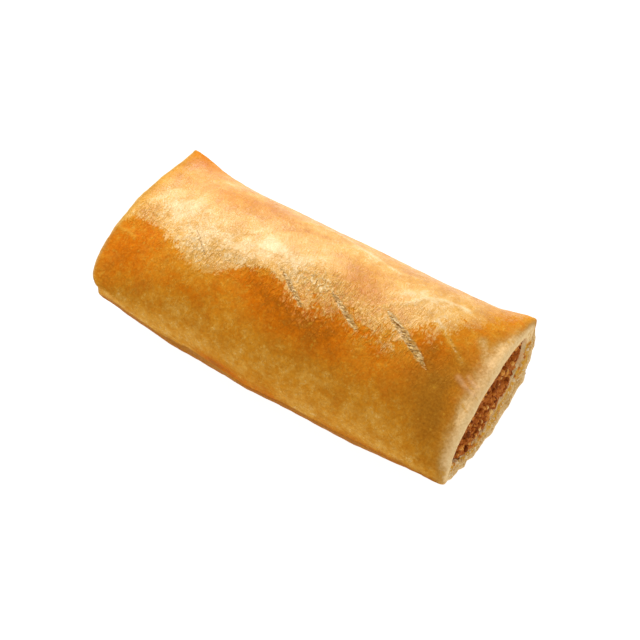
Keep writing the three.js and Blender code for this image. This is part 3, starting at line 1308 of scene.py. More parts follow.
@dataclass(frozen=True)
class Browning:
    """Where the crust browned, shines, stayed pale or was stained, and where shade and highlight are painted
    on it, all by station, by turn and at spots.
    """

    form: RollForm

    # Where the egg wash left the crown golden, with a painted highlight on it: its near edge's turn and its
    # softness, at stations.
    wash_and_painted_highlight_edge: Pairs = (
        (-64.0, 0.630), (-61.0, 0.550), (-53.0, 0.545), (-47.0, 0.580), (-43.0, 0.610), (-36.0, 0.650),
        (-31.0, 0.650), (-27.0, 0.615), (-21.0, 0.555), (-14.0, 0.535), (-8.0, 0.560), (-1.0, 0.590),
        (4.0, 0.580), (12.0, 0.545), (24.0, 0.575), (33.0, 0.555), (38.0, 0.480), (44.0, 0.435),
        (50.0, 0.345), (58.0, 0.215), (64.0, 0.120),
    )
    wash_and_painted_highlight_softness: Pairs = (
        (-64.0, 1.2), (-42.0, 1.4), (-30.0, 1.5), (-22.0, 1.4), (-10.0, 1.3), (0.0, 4.0),
        (64.0, 5.0),
    )
    edge_uneven: float = 0.012
    far_edge: float = 3.75
    edge_reach: float = 4.0

    # How golden the washed crown is, and what the bake did where it is not: both by turn, and at spots.
    # Most spots that lower the gold paint the crown paler as a painted highlight.
    gold_turns: Pairs = (
        (0.0, 0.54), (0.1, 0.44), (0.25, 0.37), (0.42, 0.34), (0.7, 0.36),
    )
    gold_and_highlight_spots: tuple[Spot, ...] = (
        Spot(-14.0, 0.455, 12.0, 0.05, -0.26),
        Spot(-62.0, 0.000, 7.0, 0.10, 0.12),
        Spot(-49.0, 0.450, 9.0, 0.07, -0.24),
        Spot(-57.0, 0.390, 5.0, 0.06, -0.10),
        Spot(-36.0, 0.540, 9.0, 0.07, -0.22),
        Spot(-23.0, 0.525, 6.0, 0.05, -0.18),
        Spot(-9.0, 0.525, 5.0, 0.04, -0.12),
        Spot(-58.0, 0.150, 7.0, 0.15, 0.15),
        Spot(-34.0, 0.315, 14.0, 0.06, 0.16),
        Spot(-60.0, 0.500, 5.0, 0.06, 0.04),
        Spot(-20.0, 0.250, 12.0, 0.05, 0.10),
        Spot(2.0, 0.280, 16.0, 0.09, -0.12),
        Spot(13.0, 0.440, 10.0, 0.06, 0.16),
        Spot(12.0, 0.556, 8.0, 0.030, 0.16),
        Spot(-20.0, 0.480, 6.0, 0.05, 0.06),
        Spot(5.0, 0.500, 5.0, 0.03, -0.10),
        Spot(12.0, 0.345, 6.0, 0.04, 0.14),
        Spot(21.0, 0.430, 7.0, 0.05, 0.08),
        Spot(31.0, 0.380, 9.0, 0.05, -0.08),
        Spot(40.0, 0.320, 8.0, 0.08, -0.14),
        Spot(57.0, 0.270, 5.0, 0.08, 0.20),
    )
    gold_broad: float = 0.05
    gold_medium: float = 0.05
    bake_turns: Pairs = (
        (0.0, 0.50), (0.45, 0.64), (0.62, 0.66), (0.7, 0.60), (0.82, 0.47), (0.96, 0.43),
        (1.1, 0.40), (1.3, 0.40), (1.6, 0.50), (2.0, 0.74), (2.5, 0.62), (3.0, 0.74),
        (3.4, 0.52), (3.8, 0.46), (4.0, 0.50),
    )
    bake_spots: tuple[Spot, ...] = (
        Spot(-57.0, 0.720, 7.0, 0.14, 0.22),
        Spot(-60.0, 0.850, 4.0, 0.10, 0.14),
        Spot(-35.0, 0.665, 8.0, 0.03, -0.08),
        Spot(-35.0, 0.740, 9.0, 0.04, 0.12),
        Spot(-36.0, 0.820, 12.0, 0.06, 0.05),
        Spot(14.0, 0.880, 8.0, 0.05, 0.07),
        Spot(-23.0, 0.625, 6.0, 0.03, -0.08),
        Spot(-18.0, 0.590, 5.0, 0.030, 0.12),
        Spot(-8.0, 0.620, 9.0, 0.060, 0.28),
        Spot(-1.0, 0.690, 7.0, 0.050, 0.20),
        Spot(4.0, 0.620, 5.0, 0.040, 0.16),
        Spot(12.0, 0.650, 8.0, 0.060, 0.32),
        Spot(22.0, 0.635, 5.0, 0.030, -0.14),
        Spot(20.0, 0.715, 9.0, 0.040, 0.10),
        Spot(31.0, 0.640, 6.0, 0.040, 0.10),
        Spot(40.0, 0.930, 14.0, 0.08, -0.06),
        Spot(35.0, 0.590, 8.0, 0.03, -0.06),
        Spot(44.0, 0.530, 6.0, 0.06, 0.26),
        Spot(54.0, 0.640, 5.0, 0.08, 0.06),
        Spot(52.0, 0.330, 8.0, 0.08, -0.06),
        Spot(50.0, 0.760, 7.0, 0.08, 0.08),
        Spot(58.0, 0.860, 6.0, 0.06, 0.06),
        Spot(-17.0, 0.996, 9.0, 0.024, 0.50),
        Spot(-1.0, 1.045, 10.0, 0.045, 0.60),
        Spot(42.0, 1.015, 22.0, 0.024, 0.46),
        Spot(-16.0, 1.075, 14.0, 0.040, -0.30),
        Spot(13.0, 1.010, 5.0, 0.050, -0.24),
    )
    bake_broad: float = 0.08
    bake_medium: float = 0.06

    # Where the egg wash shines: from near a turn to near another one, less towards the ends and at spots.
    gloss_near: float = 0.78
    gloss_near_fade: float = 0.2
    gloss_far: float = 0.02
    gloss_far_fade: float = 0.22
    gloss_end: float = 6.0
    dull_spots: tuple[Spot, ...] = (
        Spot(-37.0, 0.310, 9.0, 0.07, 0.40),
        Spot(-58.0, 0.280, 6.0, 0.05, 0.30),
        Spot(13.0, 0.400, 8.0, 0.08, 0.40),
        Spot(55.0, 0.280, 6.0, 0.10, 0.50),
        Spot(8.0, 0.130, 9.0, 0.06, 0.30),
    )

    # Painted shade: where the side, turned away from the key light, is painted a dull darker brown.
    painted_shade_spots: tuple[Spot, ...] = (
        Spot(51.0, 0.610, 8.0, 0.11, 0.70),
        Spot(53.0, 0.520, 4.5, 0.06, 0.30),
        Spot(-54.0, 0.800, 5.0, 0.06, 0.25),
        Spot(59.0, 0.360, 3.0, 0.05, 0.45),
        Spot(54.0, 0.730, 7.0, 0.10, 0.60),
        Spot(58.0, 0.840, 6.0, 0.07, 0.45),
        Spot(44.0, 0.640, 9.0, 0.12, 0.30),
        Spot(14.0, 0.740, 24.0, 0.08, 0.32),
        Spot(-60.5, 0.840, 3.0, 0.08, 0.45),
        Spot(57.0, 0.515, 4.0, 0.05, 0.35),
    )
    painted_shade_uneven: float = 0.12

    # Painted shade at the feet: the turn at which the near side is painted darker towards its foot, at
    # stations, and how both feet are painted darker.
    foot_start: Pairs = (
        (-64.0, 1.090), (-44.0, 0.990), (-26.0, 0.990), (-9.0, 1.000), (8.0, 0.992), (24.0, 0.996),
        (40.0, 0.980), (57.0, 0.942), (64.0, 0.930),
    )
    foot_uneven: float = 0.015
    foot_shaded: float = 0.85
    foot_rise: float = 0.05
    foot_lighter: float = 0.5
    foot_lighter_from: float = 0.2
    foot_lighter_rise: float = 0.5
    far_foot: float = 0.5
    far_foot_turn: float = 3.6
    far_foot_rise: float = 0.4

    # The faint pink beside the right-hand lip.
    pink_spots: tuple[Spot, ...] = (
        Spot(61.0, 0.480, 2.5, 0.05, 0.15),
        Spot(60.0, 0.555, 3.0, 0.03, 0.15),
    )

    # Where the dough stayed pale: from which station at the right-hand end, and how pale at most, by turn.
    dough_start: Pairs = (
        (0.0, 63.6), (0.15, 62.0), (0.26, 58.6), (0.4, 54.8), (0.51, 54.7), (0.61, 55.0),
        (0.72, 56.2), (0.78, 57.0), (0.84, 57.6), (0.92, 58.6), (1.0, 60.0), (1.2, 58.0),
        (3.8, 58.0), (4.0, 63.6),
    )
    dough_most: Pairs = (
        (0.3, 0.7), (0.42, 0.78), (0.5, 0.62), (0.6, 0.7), (0.74, 1.0),
    )
    dough_reach: float = 8.5
    dough_uneven: float = 1.2
    dough_ears: float = 0.12
    dough_left: float = 2.0
    dough_left_most: float = 0.5
    lip_right_fade: float = 0.6
    lip_left_from: float = 0.15
    lip_left_fade: float = 0.3

    def tones(self, at: CasingPoints) -> tuple[Array, Array]:
        """How brown the crust is.

        Args:
            at: The casing's points.

        Returns:
            How brown each point is without egg wash, and with it.
        """
        bake = read_off(self.bake_turns, at.turn)
        bake += at.humps(self.bake_spots)
        bake += self.bake_broad * at.broad + self.bake_medium * at.medium
        gold = read_off(self.gold_turns, at.turn)
        gold += at.humps(self.gold_and_highlight_spots)
        gold += self.gold_broad * at.broad + self.gold_medium * at.medium
        return bake, gold

    def wash_and_painted_highlight(self, at: CasingPoints) -> Array:
        """Where the egg wash lies, and with it the painted highlight on the crown.

        Args:
            at: The casing's points.

        Returns:
            How far inside the wash's edge each point is, for the edge's softness there.
        """
        edge = read_off(self.wash_and_painted_highlight_edge, at.station) + self.edge_uneven * at.medium
        softness = read_off(self.wash_and_painted_highlight_softness, at.station)
        far = np.where(at.turn > 3.0, at.turn - self.far_edge, -1.0)
        inside = np.where(at.turn <= 1.0, edge - at.turn, far)
        return np.clip(inside * CROWN_ARC / softness, -self.edge_reach, self.edge_reach)

    def gloss(self, at: CasingPoints) -> Array:
        """How glossy the egg wash is: most on the crown, least down the sides.

        Args:
            at: The casing's points.

        Returns:
            The gloss of each point.
        """
        crown = smooth((self.gloss_near - at.turn) / self.gloss_near_fade)
        crown = crown * smooth((at.turn - self.gloss_far) / self.gloss_far_fade)
        crown = crown * (1.0 - at.humps(self.dull_spots))
        back = self.form.half_length - np.abs(at.station)
        return np.where(at.turn < 1.0, crown, 0.0) * smooth(back / self.gloss_end)

    def painted_foot_shade(self, at: CasingPoints) -> Array:
        """How much painted shade darkens the sides where they turn under towards the base.

        Args:
            at: The casing's points.

        Returns:
            How dark each point is.
        """
        past = at.turn - read_off(self.foot_start, at.station) - self.foot_uneven * at.medium
        lighter = self.foot_lighter * smooth((past - self.foot_lighter_from) / self.foot_lighter_rise)
        near = smooth(past / self.foot_rise) * (1.0 - lighter) * (at.turn < 2.0)
        far = self.far_foot * smooth((self.far_foot_turn - at.turn) / self.far_foot_rise) * (at.turn > 3.0)
        return self.foot_shaded * (near + far)

    def paleness(self, at: CasingPoints) -> Array:
        """How pale the dough stayed towards an end and over its lips.

        Args:
            at: The casing's points.

        Returns:
            The paleness of each point, from 0 to 1.
        """
        start = read_off(self.dough_start, at.turn)
        right = smooth((at.station - start - self.dough_uneven * at.medium) / self.dough_reach)
        left = smooth((self.dough_left - self.form.half_length - at.station) / self.dough_left)
        lip_left = smooth((at.across - self.lip_left_from) / self.lip_left_fade)
        on_lip = np.where(at.station > 0.0, smooth(at.across / self.lip_right_fade), lip_left)
        ears = smooth(1.0 - turn_gap(at.turn, 0.0) / self.dough_ears)
        most = read_off(self.dough_most, at.turn)
        return held(np.maximum(most * right * (1.0 - ears), self.dough_left_most * left) + on_lip)


@dataclass(frozen=True)
class ScoreCuts:
    """How the knife scores open the crust: their ragged edges, their proud rims and their bowls."""

    form: RollForm
    ragged: float = 0.35
    grain: float = 0.9
    floor: float = 25.0
    start_ease: float = 0.12
    end: float = 1.04
    end_ease: float = 0.24
    edge: float = 0.55
    edge_fade: float = 1.3
    rim_out: float = 0.35
    rim_width: float = 0.45
    thin: float = 0.5

    def measure(self, places: Array) -> tuple[Array, Array, Array]:
        """Where the scores lie open and where their rims stand proud.

        Args:
            places: The points.

        Returns:
            How open a score lies at each point, how far on its rim it is, and how deep the knife went.
        """
        ragged = self.ragged * lumps(places, self.grain)
        inside, rim, depth = np.zeros((3, len(places)))
        for score in self.form.scores:
            line = ScoreLine(score, self.form)
            share, aside = line.measure(places)
            half = line.half_width(held(share))
            near = (share > 0.0) & (share < 1.0) & (places[:, 2] > self.floor)
            gone = np.abs(aside) - half + ragged
            ease = score.open * smooth((share - score.opens_at) / self.start_ease)
            ease = ease * smooth((self.end - share) / self.end_ease)
            wide = smooth(half / self.thin)
            inside = np.maximum(inside, ease * near * smooth(self.edge - gone / self.edge_fade) * wide)
            on_rim = np.exp(-(((gone - self.rim_out) / self.rim_width) ** 2))
            rim = np.maximum(rim, ease * near * on_rim * wide)
            bowl = np.maximum(0.0, 1.0 - (aside / np.maximum(half, TINY)) ** 2)
            taper = half / (score.width / 2)
            depth = np.maximum(depth, near * score.depth * taper * np.sqrt(bowl))
        return inside, rim, depth


@dataclass
class Casing:
    """The pastry casing: its crust, the two lips and the tunnel's wall, as one skin."""

    form: RollForm
    lip_right: LipProfile = LipProfile(2.6, 0.45)
    lip_left: LipProfile = LipProfile(1.2, 0.22)

    # The skin's grid, which is closer together at its ends and on the crown's near half.
    outside_steps: int = 250
    tunnel_steps: int = 12
    crown_columns: int = 216
    near_columns: int = 34
    base_columns: int = 24
    far_columns: int = 30
    end_crowding: float = 0.35
    crown_crowding: float = 0.06
    tunnel_crowding: float = 0.35
    outer_across: float = 0.02

    # How the lips' rounding is drawn out to the edge at the far ears and on the lower lips.
    ear_turn: float = 0.16
    ear_rounding: float = 0.1
    low_rounding: float = 0.45
    low_fade: float = 0.15
    rounding_length: float = 12.0

    # The crust's unevenness, how high its layers stand, and how deep they are pressed into the base.
    broad: Unevenness = Unevenness(11.0, 2)
    medium: Unevenness = Unevenness(4.0, 3, 40.0)
    fine: Unevenness = Unevenness(1.6, 2, 90.0)
    broad_height: float = 0.22
    medium_height: float = 0.12
    fine_height: float = 0.04
    foot_fade: float = 5.0
    base_medium: float = 0.25
    base_fine: float = 0.1

    # The torn crumb of the lips, and how far crumb and stain show on it.
    crumb_grain: float = 3.2
    crumb_upper: float = 0.25
    crumb_lower: float = 0.8
    tatters: Unevenness = Unevenness(2.0, 2)
    tatters_share: float = 0.25
    torn_fine: float = 0.05
    grit: Unevenness = Unevenness(1.2, 2, 17.0)
    grit_height: float = 0.08
    crumb_fade: float = 0.35
    crumb_on_upper: float = 0.2
    stain_from: float = 0.4
    stain_fade: float = 0.45
    stain_on_upper: float = 0.3

    # The scores' rims and bowls, of which the solid's own surface already carries a share.
    score_rim: float = 0.1
    score_share: float = 0.42

    # The folds and the wrinkled stretches of the crown.
    folds: tuple[Fold, ...] = (
        Fold(
            ((23.4, 0.461), (25.0, 0.436), (29.6, 0.406), (33.6, 0.350), (37.8, 0.314), (46.0, 0.300)),
            width=0.8, height=0.22, paler=0.16,
        ),
        Fold(((22.6, 0.411), (26.0, 0.372), (31.0, 0.345)), width=1.6, height=0.18, paler=0.10),
        Fold(
            ((-17.0, 0.262), (-12.0, 0.212), (-2.6, 0.217), (4.0, 0.242), (20.8, 0.285), (27.0, 0.261)),
            width=0.9, height=0.16, paler=0.14,
        ),
        Fold(
            ((54.6, 0.552), (56.6, 0.561), (58.2, 0.567), (61.4, 0.573)),
            width=0.85, height=0.2, paler=0.05, floury=0.2, pink=0.38,
        ),
        Fold(
            ((57.4, 0.534), (58.6, 0.542), (60.4, 0.548), (62.8, 0.551)),
            width=0.75, height=0.15, paler=0.05, floury=0.25, pink=0.42,
        ),
        Fold(
            ((55.0, 0.400), (57.5, 0.425), (59.5, 0.470)),
            width=2.2, height=0.12, paler=0.05, floury=0.42,
        ),
        Fold(
            ((40.2, 0.419), (46.0, 0.455), (53.4, 0.503)),
            width=0.9, height=0.12, paler=0.28, floury=0.1,
        ),
        Fold(
            ((-28.0, 0.500), (-26.8, 0.461), (-23.0, 0.425), (-18.8, 0.358), (-12.6, 0.300), (-5.0, 0.285)),
            width=0.9, height=-0.12, paler=-0.12,
        ),
        Fold(((-8.8, 0.417), (-4.6, 0.381), (0.8, 0.356), (3.0, 0.300)), width=0.9, height=-0.1, paler=-0.1),
        Fold(((-64.0, 0.605), (-59.6, 0.606), (-56.4, 0.622)), width=0.9, height=0.15, paler=0.22),
    )
    wrinkles: tuple[Spot, ...] = (
        Spot(2.0, 0.490, 10.0, 0.050, 0.9),
        Spot(-57.0, 0.510, 6.0, 0.060, 0.4),
        Spot(-36.0, 0.575, 7.0, 0.040, 0.25),
        Spot(-44.0, 0.500, 12.0, 0.120, 0.2),
        Spot(24.0, 0.500, 14.0, 0.100, 0.25),
        Spot(-20.0, 0.545, 9.0, 0.025, 0.5),
        Spot(-24.0, 0.590, 30.0, 0.050, 0.2),
        Spot(22.0, 0.570, 24.0, 0.055, 0.35),
    )
    wrinkle_ground: float = 0.1

    def columns(self) -> Array:
        """The turn of each column of the skin.

        Returns:
            The turns, from the far ear round to it again.
        """
        crown = np.linspace(0.0, 1.0, self.crown_columns, endpoint=False)
        crown = crown - self.crown_crowding * np.sin(2 * math.pi * crown) / (2 * math.pi)
        near = 1.0 + np.linspace(0.0, 1.0, self.near_columns, endpoint=False)
        base = 2.0 + np.linspace(0.0, 1.0, self.base_columns, endpoint=False)
        far = 3.0 + np.linspace(0.0, 1.0, self.far_columns + 1)
        return np.concatenate([crown, near, base, far])

    def rings(self) -> tuple[Array, Array, Array]:
        """The skin's rings: along the outside, over the right lip, back through the tunnel, over the left.

        Returns:
            The station, the across and the tornness of each ring, the first one again at the end.
        """
        across, back, torn = self.lip_right.rings()
        left_across, left_back, left_torn = (ring[::-1] for ring in self.lip_left.rings())
        half = self.form.half_length
        along = np.linspace(0.0, 1.0, self.outside_steps + 1)
        along = along - self.end_crowding * np.sin(2 * math.pi * along) / (2 * math.pi)
        outside = mix(self.lip_left.outer_back - half, half - self.lip_right.outer_back, along)
        steps = np.linspace(1.0, -1.0, self.tunnel_steps + 1)
        crowded = np.sign(steps) * np.abs(steps) ** self.tunnel_crowding
        tunnel = crowded * (half - self.lip_right.inner_back)
        station = np.concatenate([outside, half - back, tunnel, left_back - half, outside[:1]])
        none = np.zeros(len(outside))
        shares = np.concatenate([none, across, np.ones(len(tunnel)), left_across, [0.0]])
        tears = np.concatenate([none, torn, np.zeros(len(tunnel)), left_torn, [0.0]])
        return station, shares, tears

    def sharpened(self, station: Array, turn: Array, low: Array) -> Array:
        """Draws the lips' rounding out to the edge: nearly all of it at the far ears, some on lower lips.

        Args:
            station: The points' stations.
            turn: Their turns.
            low: 1 below the ears and 0 above them.

        Returns:
            The points' new stations.
        """
        near_ear = smooth(1.0 - turn_gap(turn, 0.0) / self.ear_turn)
        kept = mix(mix(1.0, self.low_rounding, low), self.ear_rounding, near_ear)
        back = self.form.half_length - np.abs(station)
        reach = smooth(1.0 - back / self.rounding_length)
        return np.sign(station) * (self.form.half_length - back * mix(1.0, kept, reach))

    def points(self, row: Array, column: Array) -> CasingPoints:
        """The skin's points, before they are torn and raised.

        Args:
            row: Each vertex's ring.
            column: Each vertex's column.

        Returns:
            The points.
        """
        ring_station, ring_across, ring_torn = self.rings()
        turns = self.columns()
        turn = np.where(column == len(turns) - 1, 0.0, turns[column])
        low = smooth((turn - 1.0) / self.low_fade) * smooth((FULL_TURN - turn) / self.low_fade)
        station = self.sharpened(ring_station[row], turn, low)
        across = ring_across[row]
        outer = (across < self.outer_across).astype(float)
        places = self.form.place(station, turn, across)
        uneven = [layer.at(places) for layer in (self.broad, self.medium, self.fine)]
        return CasingPoints(station, turn, across, ring_torn[row], low, outer, places, *uneven)

    def lay(self, row: Array, column: Array) -> Skin:
        """Lays the skin out.

        Args:
            row: Each vertex's ring.
            column: Each vertex's column.

        Returns:
            The skin with its relief and its finish's values.
        """
        at = self.points(row, column)
        depth = mix(self.crumb_upper, self.crumb_lower, at.low)
        rough = lumps(at.places, self.crumb_grain) + self.tatters_share * self.tatters.at(at.places) * at.low
        lift, values = self.relief(at)
        torn = at.places.copy()
        torn[:, 0] += np.sign(at.station) * depth * at.torn * rough
        return Skin(self.form.settled(torn), values, lift * MM)

    def relief(self, at: CasingPoints) -> tuple[Array, dict[str, Array]]:
        """The crust's relief and the values that its finish reads.

        Args:
            at: The casing's points.

        Returns:
            How far each point is raised, and the named values.
        """
        uneven = self.broad_height * at.broad + self.medium_height * at.medium + self.fine_height * at.fine
        lift = at.outer * smooth(at.places[:, 2] / self.foot_fade) * uneven
        grit = at.low * self.grit_height * self.grit.at(at.places)
        lift += at.torn * (self.torn_fine * at.fine + grit)
        base = at.outer * (at.turn >= 2.0) * (at.turn <= 3.0)
        lift -= base * np.maximum(0.0, self.base_medium * at.medium + self.base_fine * at.fine)
        score, rim, depth = ScoreCuts(self.form).measure(at.places)
        lift += at.outer * (rim * self.score_rim - depth * self.score_share)
        browning = Browning(self.form)
        bake, gold = browning.tones(at)
        floury = browning.paleness(at)
        pink = at.humps(browning.pink_spots) * at.outer
        for fold in self.folds:
            crest = at.outer * np.exp(-((path_gap(at.station, at.turn, fold.path) / fold.width) ** 2))
            lift += fold.height * crest
            gold -= fold.paler * crest
            bake -= fold.paler * crest
            floury = np.maximum(floury, fold.floury * crest)
            pink = np.maximum(pink, fold.pink * crest)
        # Painted shade on the sides turned away from the light.
        painted_shade = at.humps(browning.painted_shade_spots) * at.outer + browning.painted_shade_uneven * at.medium * at.outer
        crumb = at.torn * smooth(at.across / self.crumb_fade) * mix(self.crumb_on_upper, 1.0, at.low)
        stained = smooth((at.across - self.stain_from) / self.stain_fade)
        wrinkle = self.wrinkle_ground + at.humps(self.wrinkles)
        return lift, {
            "bake": held(bake),
            "gold": held(gold),
            # The egg wash's mask, which also carries the painted highlight on the crown.
            "wash_and_painted_highlight": browning.wash_and_painted_highlight(at),
            # Painted shade on the sides turned away from the light.
            "painted_shade": held(painted_shade),
            "dough": floury,
            "pink": held(pink),
            # Painted shade at the foot.
            "painted_foot_shade": held(browning.painted_foot_shade(at) * at.outer),
            "crumb": held(crumb),
            "stain": held(at.torn * stained * mix(self.stain_on_upper, 1.0, at.low)),
            "score": held(score * at.outer),
            "gloss": held(browning.gloss(at) * at.outer),
            "wrinkle": held(wrinkle * at.outer * (at.turn < 1.0)),
        }

    def build(self) -> bpy.types.Object:
        """Builds the casing's piece."""
        return wrapped("crust", len(self.rings()[0]) - 1, len(self.columns()) - 1, self.lay)

    def dress(self, piece: bpy.types.Object, material: bpy.types.Material) -> None:
        """Gives the casing its finish and its place in the frame.

        Args:
            piece: The casing's piece.
            material: Its finish.
        """
        piece.data.materials.append(material)
        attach(piece, "root")
        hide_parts("pastry")


@dataclass(frozen=True)
class StrandKind:
    """What sets a score's strands apart: dark flecks among them, how many, how deep, how thick, how long."""

    dark: float
    crowded: float
    sunk: float
    thick: float
    reach: float


class Strands(Enum):
    """The strands of a score that opened in the oven, and of one that hardly did."""

    OPENED = StrandKind(dark=0.28, crowded=1.0, sunk=0.16, thick=1.0, reach=0.0)
    CLOSED = StrandKind(dark=0.4, crowded=1.6, sunk=0.08, thick=0.5, reach=0.36)


@dataclass
class ScoreStrands:
    """The strands of torn pastry and the dark flecks that lie along the scores."""

    form: RollForm
    seed: int = 5
    spacing: float = 0.5
    fineness: int = 2
    ragged: float = 0.5
    opened: float = 0.5
    jitter: float = 0.4
    slant: Range = (0.1, 1.5)
    aside: float = 0.9
    lengths: Range = (0.25, 0.9)
    thickness: float = 0.25
    widths: Range = (0.35, 1.25)
    flatness: float = 0.8
    thin_from: float = 0.7
    thin_over: float = 0.3
    thinner: float = 0.5
    dark_tints: Range = (0.0, 0.25)
    pale_tints: Range = (0.5, 1.0)
    near_darker: float = 0.2

    def chips(self) -> list[Chip]:
        """Lays one strand or fleck after another along each score.

        Returns:
            The strands and flecks.
        """
        draw = np.random.default_rng(self.seed)
        chips = []
        for score in self.form.scores:
            line = ScoreLine(score, self.form)
            along, aside, above = line.axes()
            kind = (Strands.OPENED if score.open > self.opened else Strands.CLOSED).value
            count = int(score.torn * line.length() / self.spacing * kind.crowded)
            shares = (np.arange(count) + 0.5 + draw.uniform(-self.jitter, self.jitter, count)) / count
            halves = line.half_width(shares)
            for share, half in zip(shares.tolist(), halves.tolist()):
                dark = draw.uniform() < kind.dark
                across = unit(along - aside * draw.uniform(*self.slant))
                off = aside * half * draw.uniform(-self.aside, self.aside)
                centre = line.on_crust(np.array([share]))[0] + off - above * kind.sunk
                turned = Matrix(np.stack([across, np.cross(above, across), above], 1).tolist())
                reach = (kind.reach or half) * draw.uniform(*self.lengths)
                thinned = 1.0 - self.thinner * smooth((share - self.thin_from) / self.thin_over)
                thick = self.thickness * kind.thick * thinned
                size = Vector((reach, thick * draw.uniform(*self.widths), thick * self.flatness)) * MM
                pale = 0.0 if dark else self.near_darker * share
                tint = draw.uniform(*(self.dark_tints if dark else self.pale_tints)) - pale
                chips.append(Chip(Vector(self.form.settled(centre)), turned, size, tint))
        return chips

    def build(self) -> bpy.types.Object:
        """Builds the strands' piece."""
        return scatter("score_strands", self.chips(), self.fineness, self.ragged)

    def dress(self, piece: bpy.types.Object, material: bpy.types.Material) -> None:
        """Gives the strands their finish and their place in the frame.

        Args:
            piece: The strands' piece.
            material: Their finish.
        """
        piece.data.materials.append(material)
        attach(piece, "root")


@dataclass
class LipCrumbs:
    """The crumbs and flakes that stand on the torn lower lips."""

    form: RollForm
    seed: int = 11
    each_end: int = 150
    fineness: int = 2
    ragged: float = 0.45
    turns: Range = (1.05, 3.95)
    acrosses: Range = (0.3, 0.95)
    largest: float = 1.0
    shares: Range = (0.4, 1.0)
    small_ones: float = 1.3
    crumb_grain: float = 3.2
    crumb_depth: float = 0.7
    sunk: float = 0.55
    widths: Range = (0.6, 1.0)
    heights: Range = (0.4, 0.8)
    tints: Range = (0.3, 0.95)

    def chips(self) -> list[Chip]:
        """Sets the crumbs on the lower lips.

        Returns:
            The crumbs of both ends.
        """
        draw = np.random.default_rng(self.seed)
        chips = []
        for end in ENDS:
            turn = draw.uniform(*self.turns, self.each_end)
            across = draw.uniform(*self.acrosses, self.each_end)
            places = self.form.place(np.full(self.each_end, end * self.form.half_length), turn, across)
            sizes = self.largest * draw.uniform(*self.shares, self.each_end) ** self.small_ones
            places[:, 0] += end * (self.crumb_depth * lumps(places, self.crumb_grain) - self.sunk * sizes)
            for place, size in zip(self.form.settled(places), sizes):
                turned = tumbled(draw, "XY")
                half = (size, size * draw.uniform(*self.widths), size * draw.uniform(*self.heights))
                chips.append(Chip(Vector(place), turned, Vector(half) * MM, draw.uniform(*self.tints)))
        return chips

    def build(self) -> bpy.types.Object:
        """Builds the crumbs' piece."""
        return scatter("pastry_crumbs", self.chips(), self.fineness, self.ragged)

    def dress(self, piece: bpy.types.Object, material: bpy.types.Material) -> None:
        """Gives the crumbs their finish and their place in the frame.

        Args:
            piece: The crumbs' piece.
            material: Their finish.
        """
        piece.data.materials.append(material)
        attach(piece, "root")


# ---- The filling ----


@dataclass
class Mince:
    """The minced filling that runs through the roll."""

    form: RollForm
    face_rings: int = 44
    length_steps: int = 16
    around: int = 220
    gap: float = 0.1
    face_depth: float = 4.0

    # How far the faces stand back from the mouths, between two heights, and their lumps, as in the solid.
    stand_back_bottom: float = 0.9
    stand_back_top: float = 2.6
    floor: float = 10.0
    ceiling: float = 28.0
    grain: float = 3.0
    depth: float = 1.0

    # The finer clods of the faces, which fade out at the rim, and the tint.
    clods: Unevenness = Unevenness(2.2, 3)
    clod_height: float = 0.55
    shreds: Unevenness = Unevenness(0.9, 2, 31.0)
    shred_height: float = 0.2
    rim_fade: float = 0.06
    tint: float = 0.36
    tint_uneven: float = 0.22

    def rings(self) -> int:
        """How many steps the skin has from the middle of one face to the middle of the other."""
        return 2 * self.face_rings + self.length_steps + 1

    def face(self, end: float, turn: Array, share: Array) -> Array:
        """The points of an end face, from its middle at share 0 to the mouth's outline at 1.

        Args:
            end: 1 for the right-hand end and -1 for the left-hand one.
            turn: The points' turns.
            share: How far out they lie.

        Returns:
            One point to a row.
        """
        station = np.full(len(turn), end * self.form.half_length)
        top = self.form.inside(station, np.full(len(turn), CROWN_MIDDLE), self.gap)
        bottom = self.form.inside(station, np.full(len(turn), BASE_MIDDLE), self.gap)
        places = mix((top + bottom) / 2, self.form.inside(station, turn, self.gap), share[:, None])
        height = smooth((places[:, 2] - self.floor) / (self.ceiling - self.floor))
        back = mix(self.stand_back_bottom, self.stand_back_top, height)
        places[:, 0] -= end * (back + self.depth * lumps(places, self.grain))
        return places

    def lay(self, row: Array, column: Array) -> Skin:
        """Lays out the filling's skin: right face, length and left face.

        Args:
            row: Each vertex's ring.
            column: Each vertex's column.

        Returns:
            The skin with its relief and its tint.
        """
        last = self.rings()
        turn = mouth_turn((column % self.around) / self.around * 2.0)
        right = row <= self.face_rings
        left = row >= last - self.face_rings
        share = np.where(right, row, last - row) / self.face_rings
        step = (row - self.face_rings) / (last - 2 * self.face_rings)
        station = (1.0 - 2.0 * held(step)) * (self.form.half_length - self.face_depth)
        places = self.form.inside(station, turn, self.gap)
        for end, on_face in zip(ENDS, (right, left)):
            places = np.where(on_face[:, None], self.face(end, turn, share), places)
        clods = self.clods.at(places)
        uneven = self.clod_height * clods + self.shred_height * self.shreds.at(places)
        lift = (right | left).astype(float) * smooth((1.0 - share) / self.rim_fade) * uneven
        values = {"tint": self.tint + self.tint_uneven * clods}
        return Skin(self.form.settled(places), values, lift * MM)

    def build(self) -> bpy.types.Object:
        """Builds the filling's piece."""
        return wrapped("mince", self.rings(), self.around, self.lay)

    def dress(self, piece: bpy.types.Object, material: bpy.types.Material) -> None:
        """Gives the filling its finish and its place in the frame.

        Args:
            piece: The filling's piece.
            material: Its finish.
        """
        piece.data.materials.append(material)
        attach(piece, "root")
        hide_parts("filling")


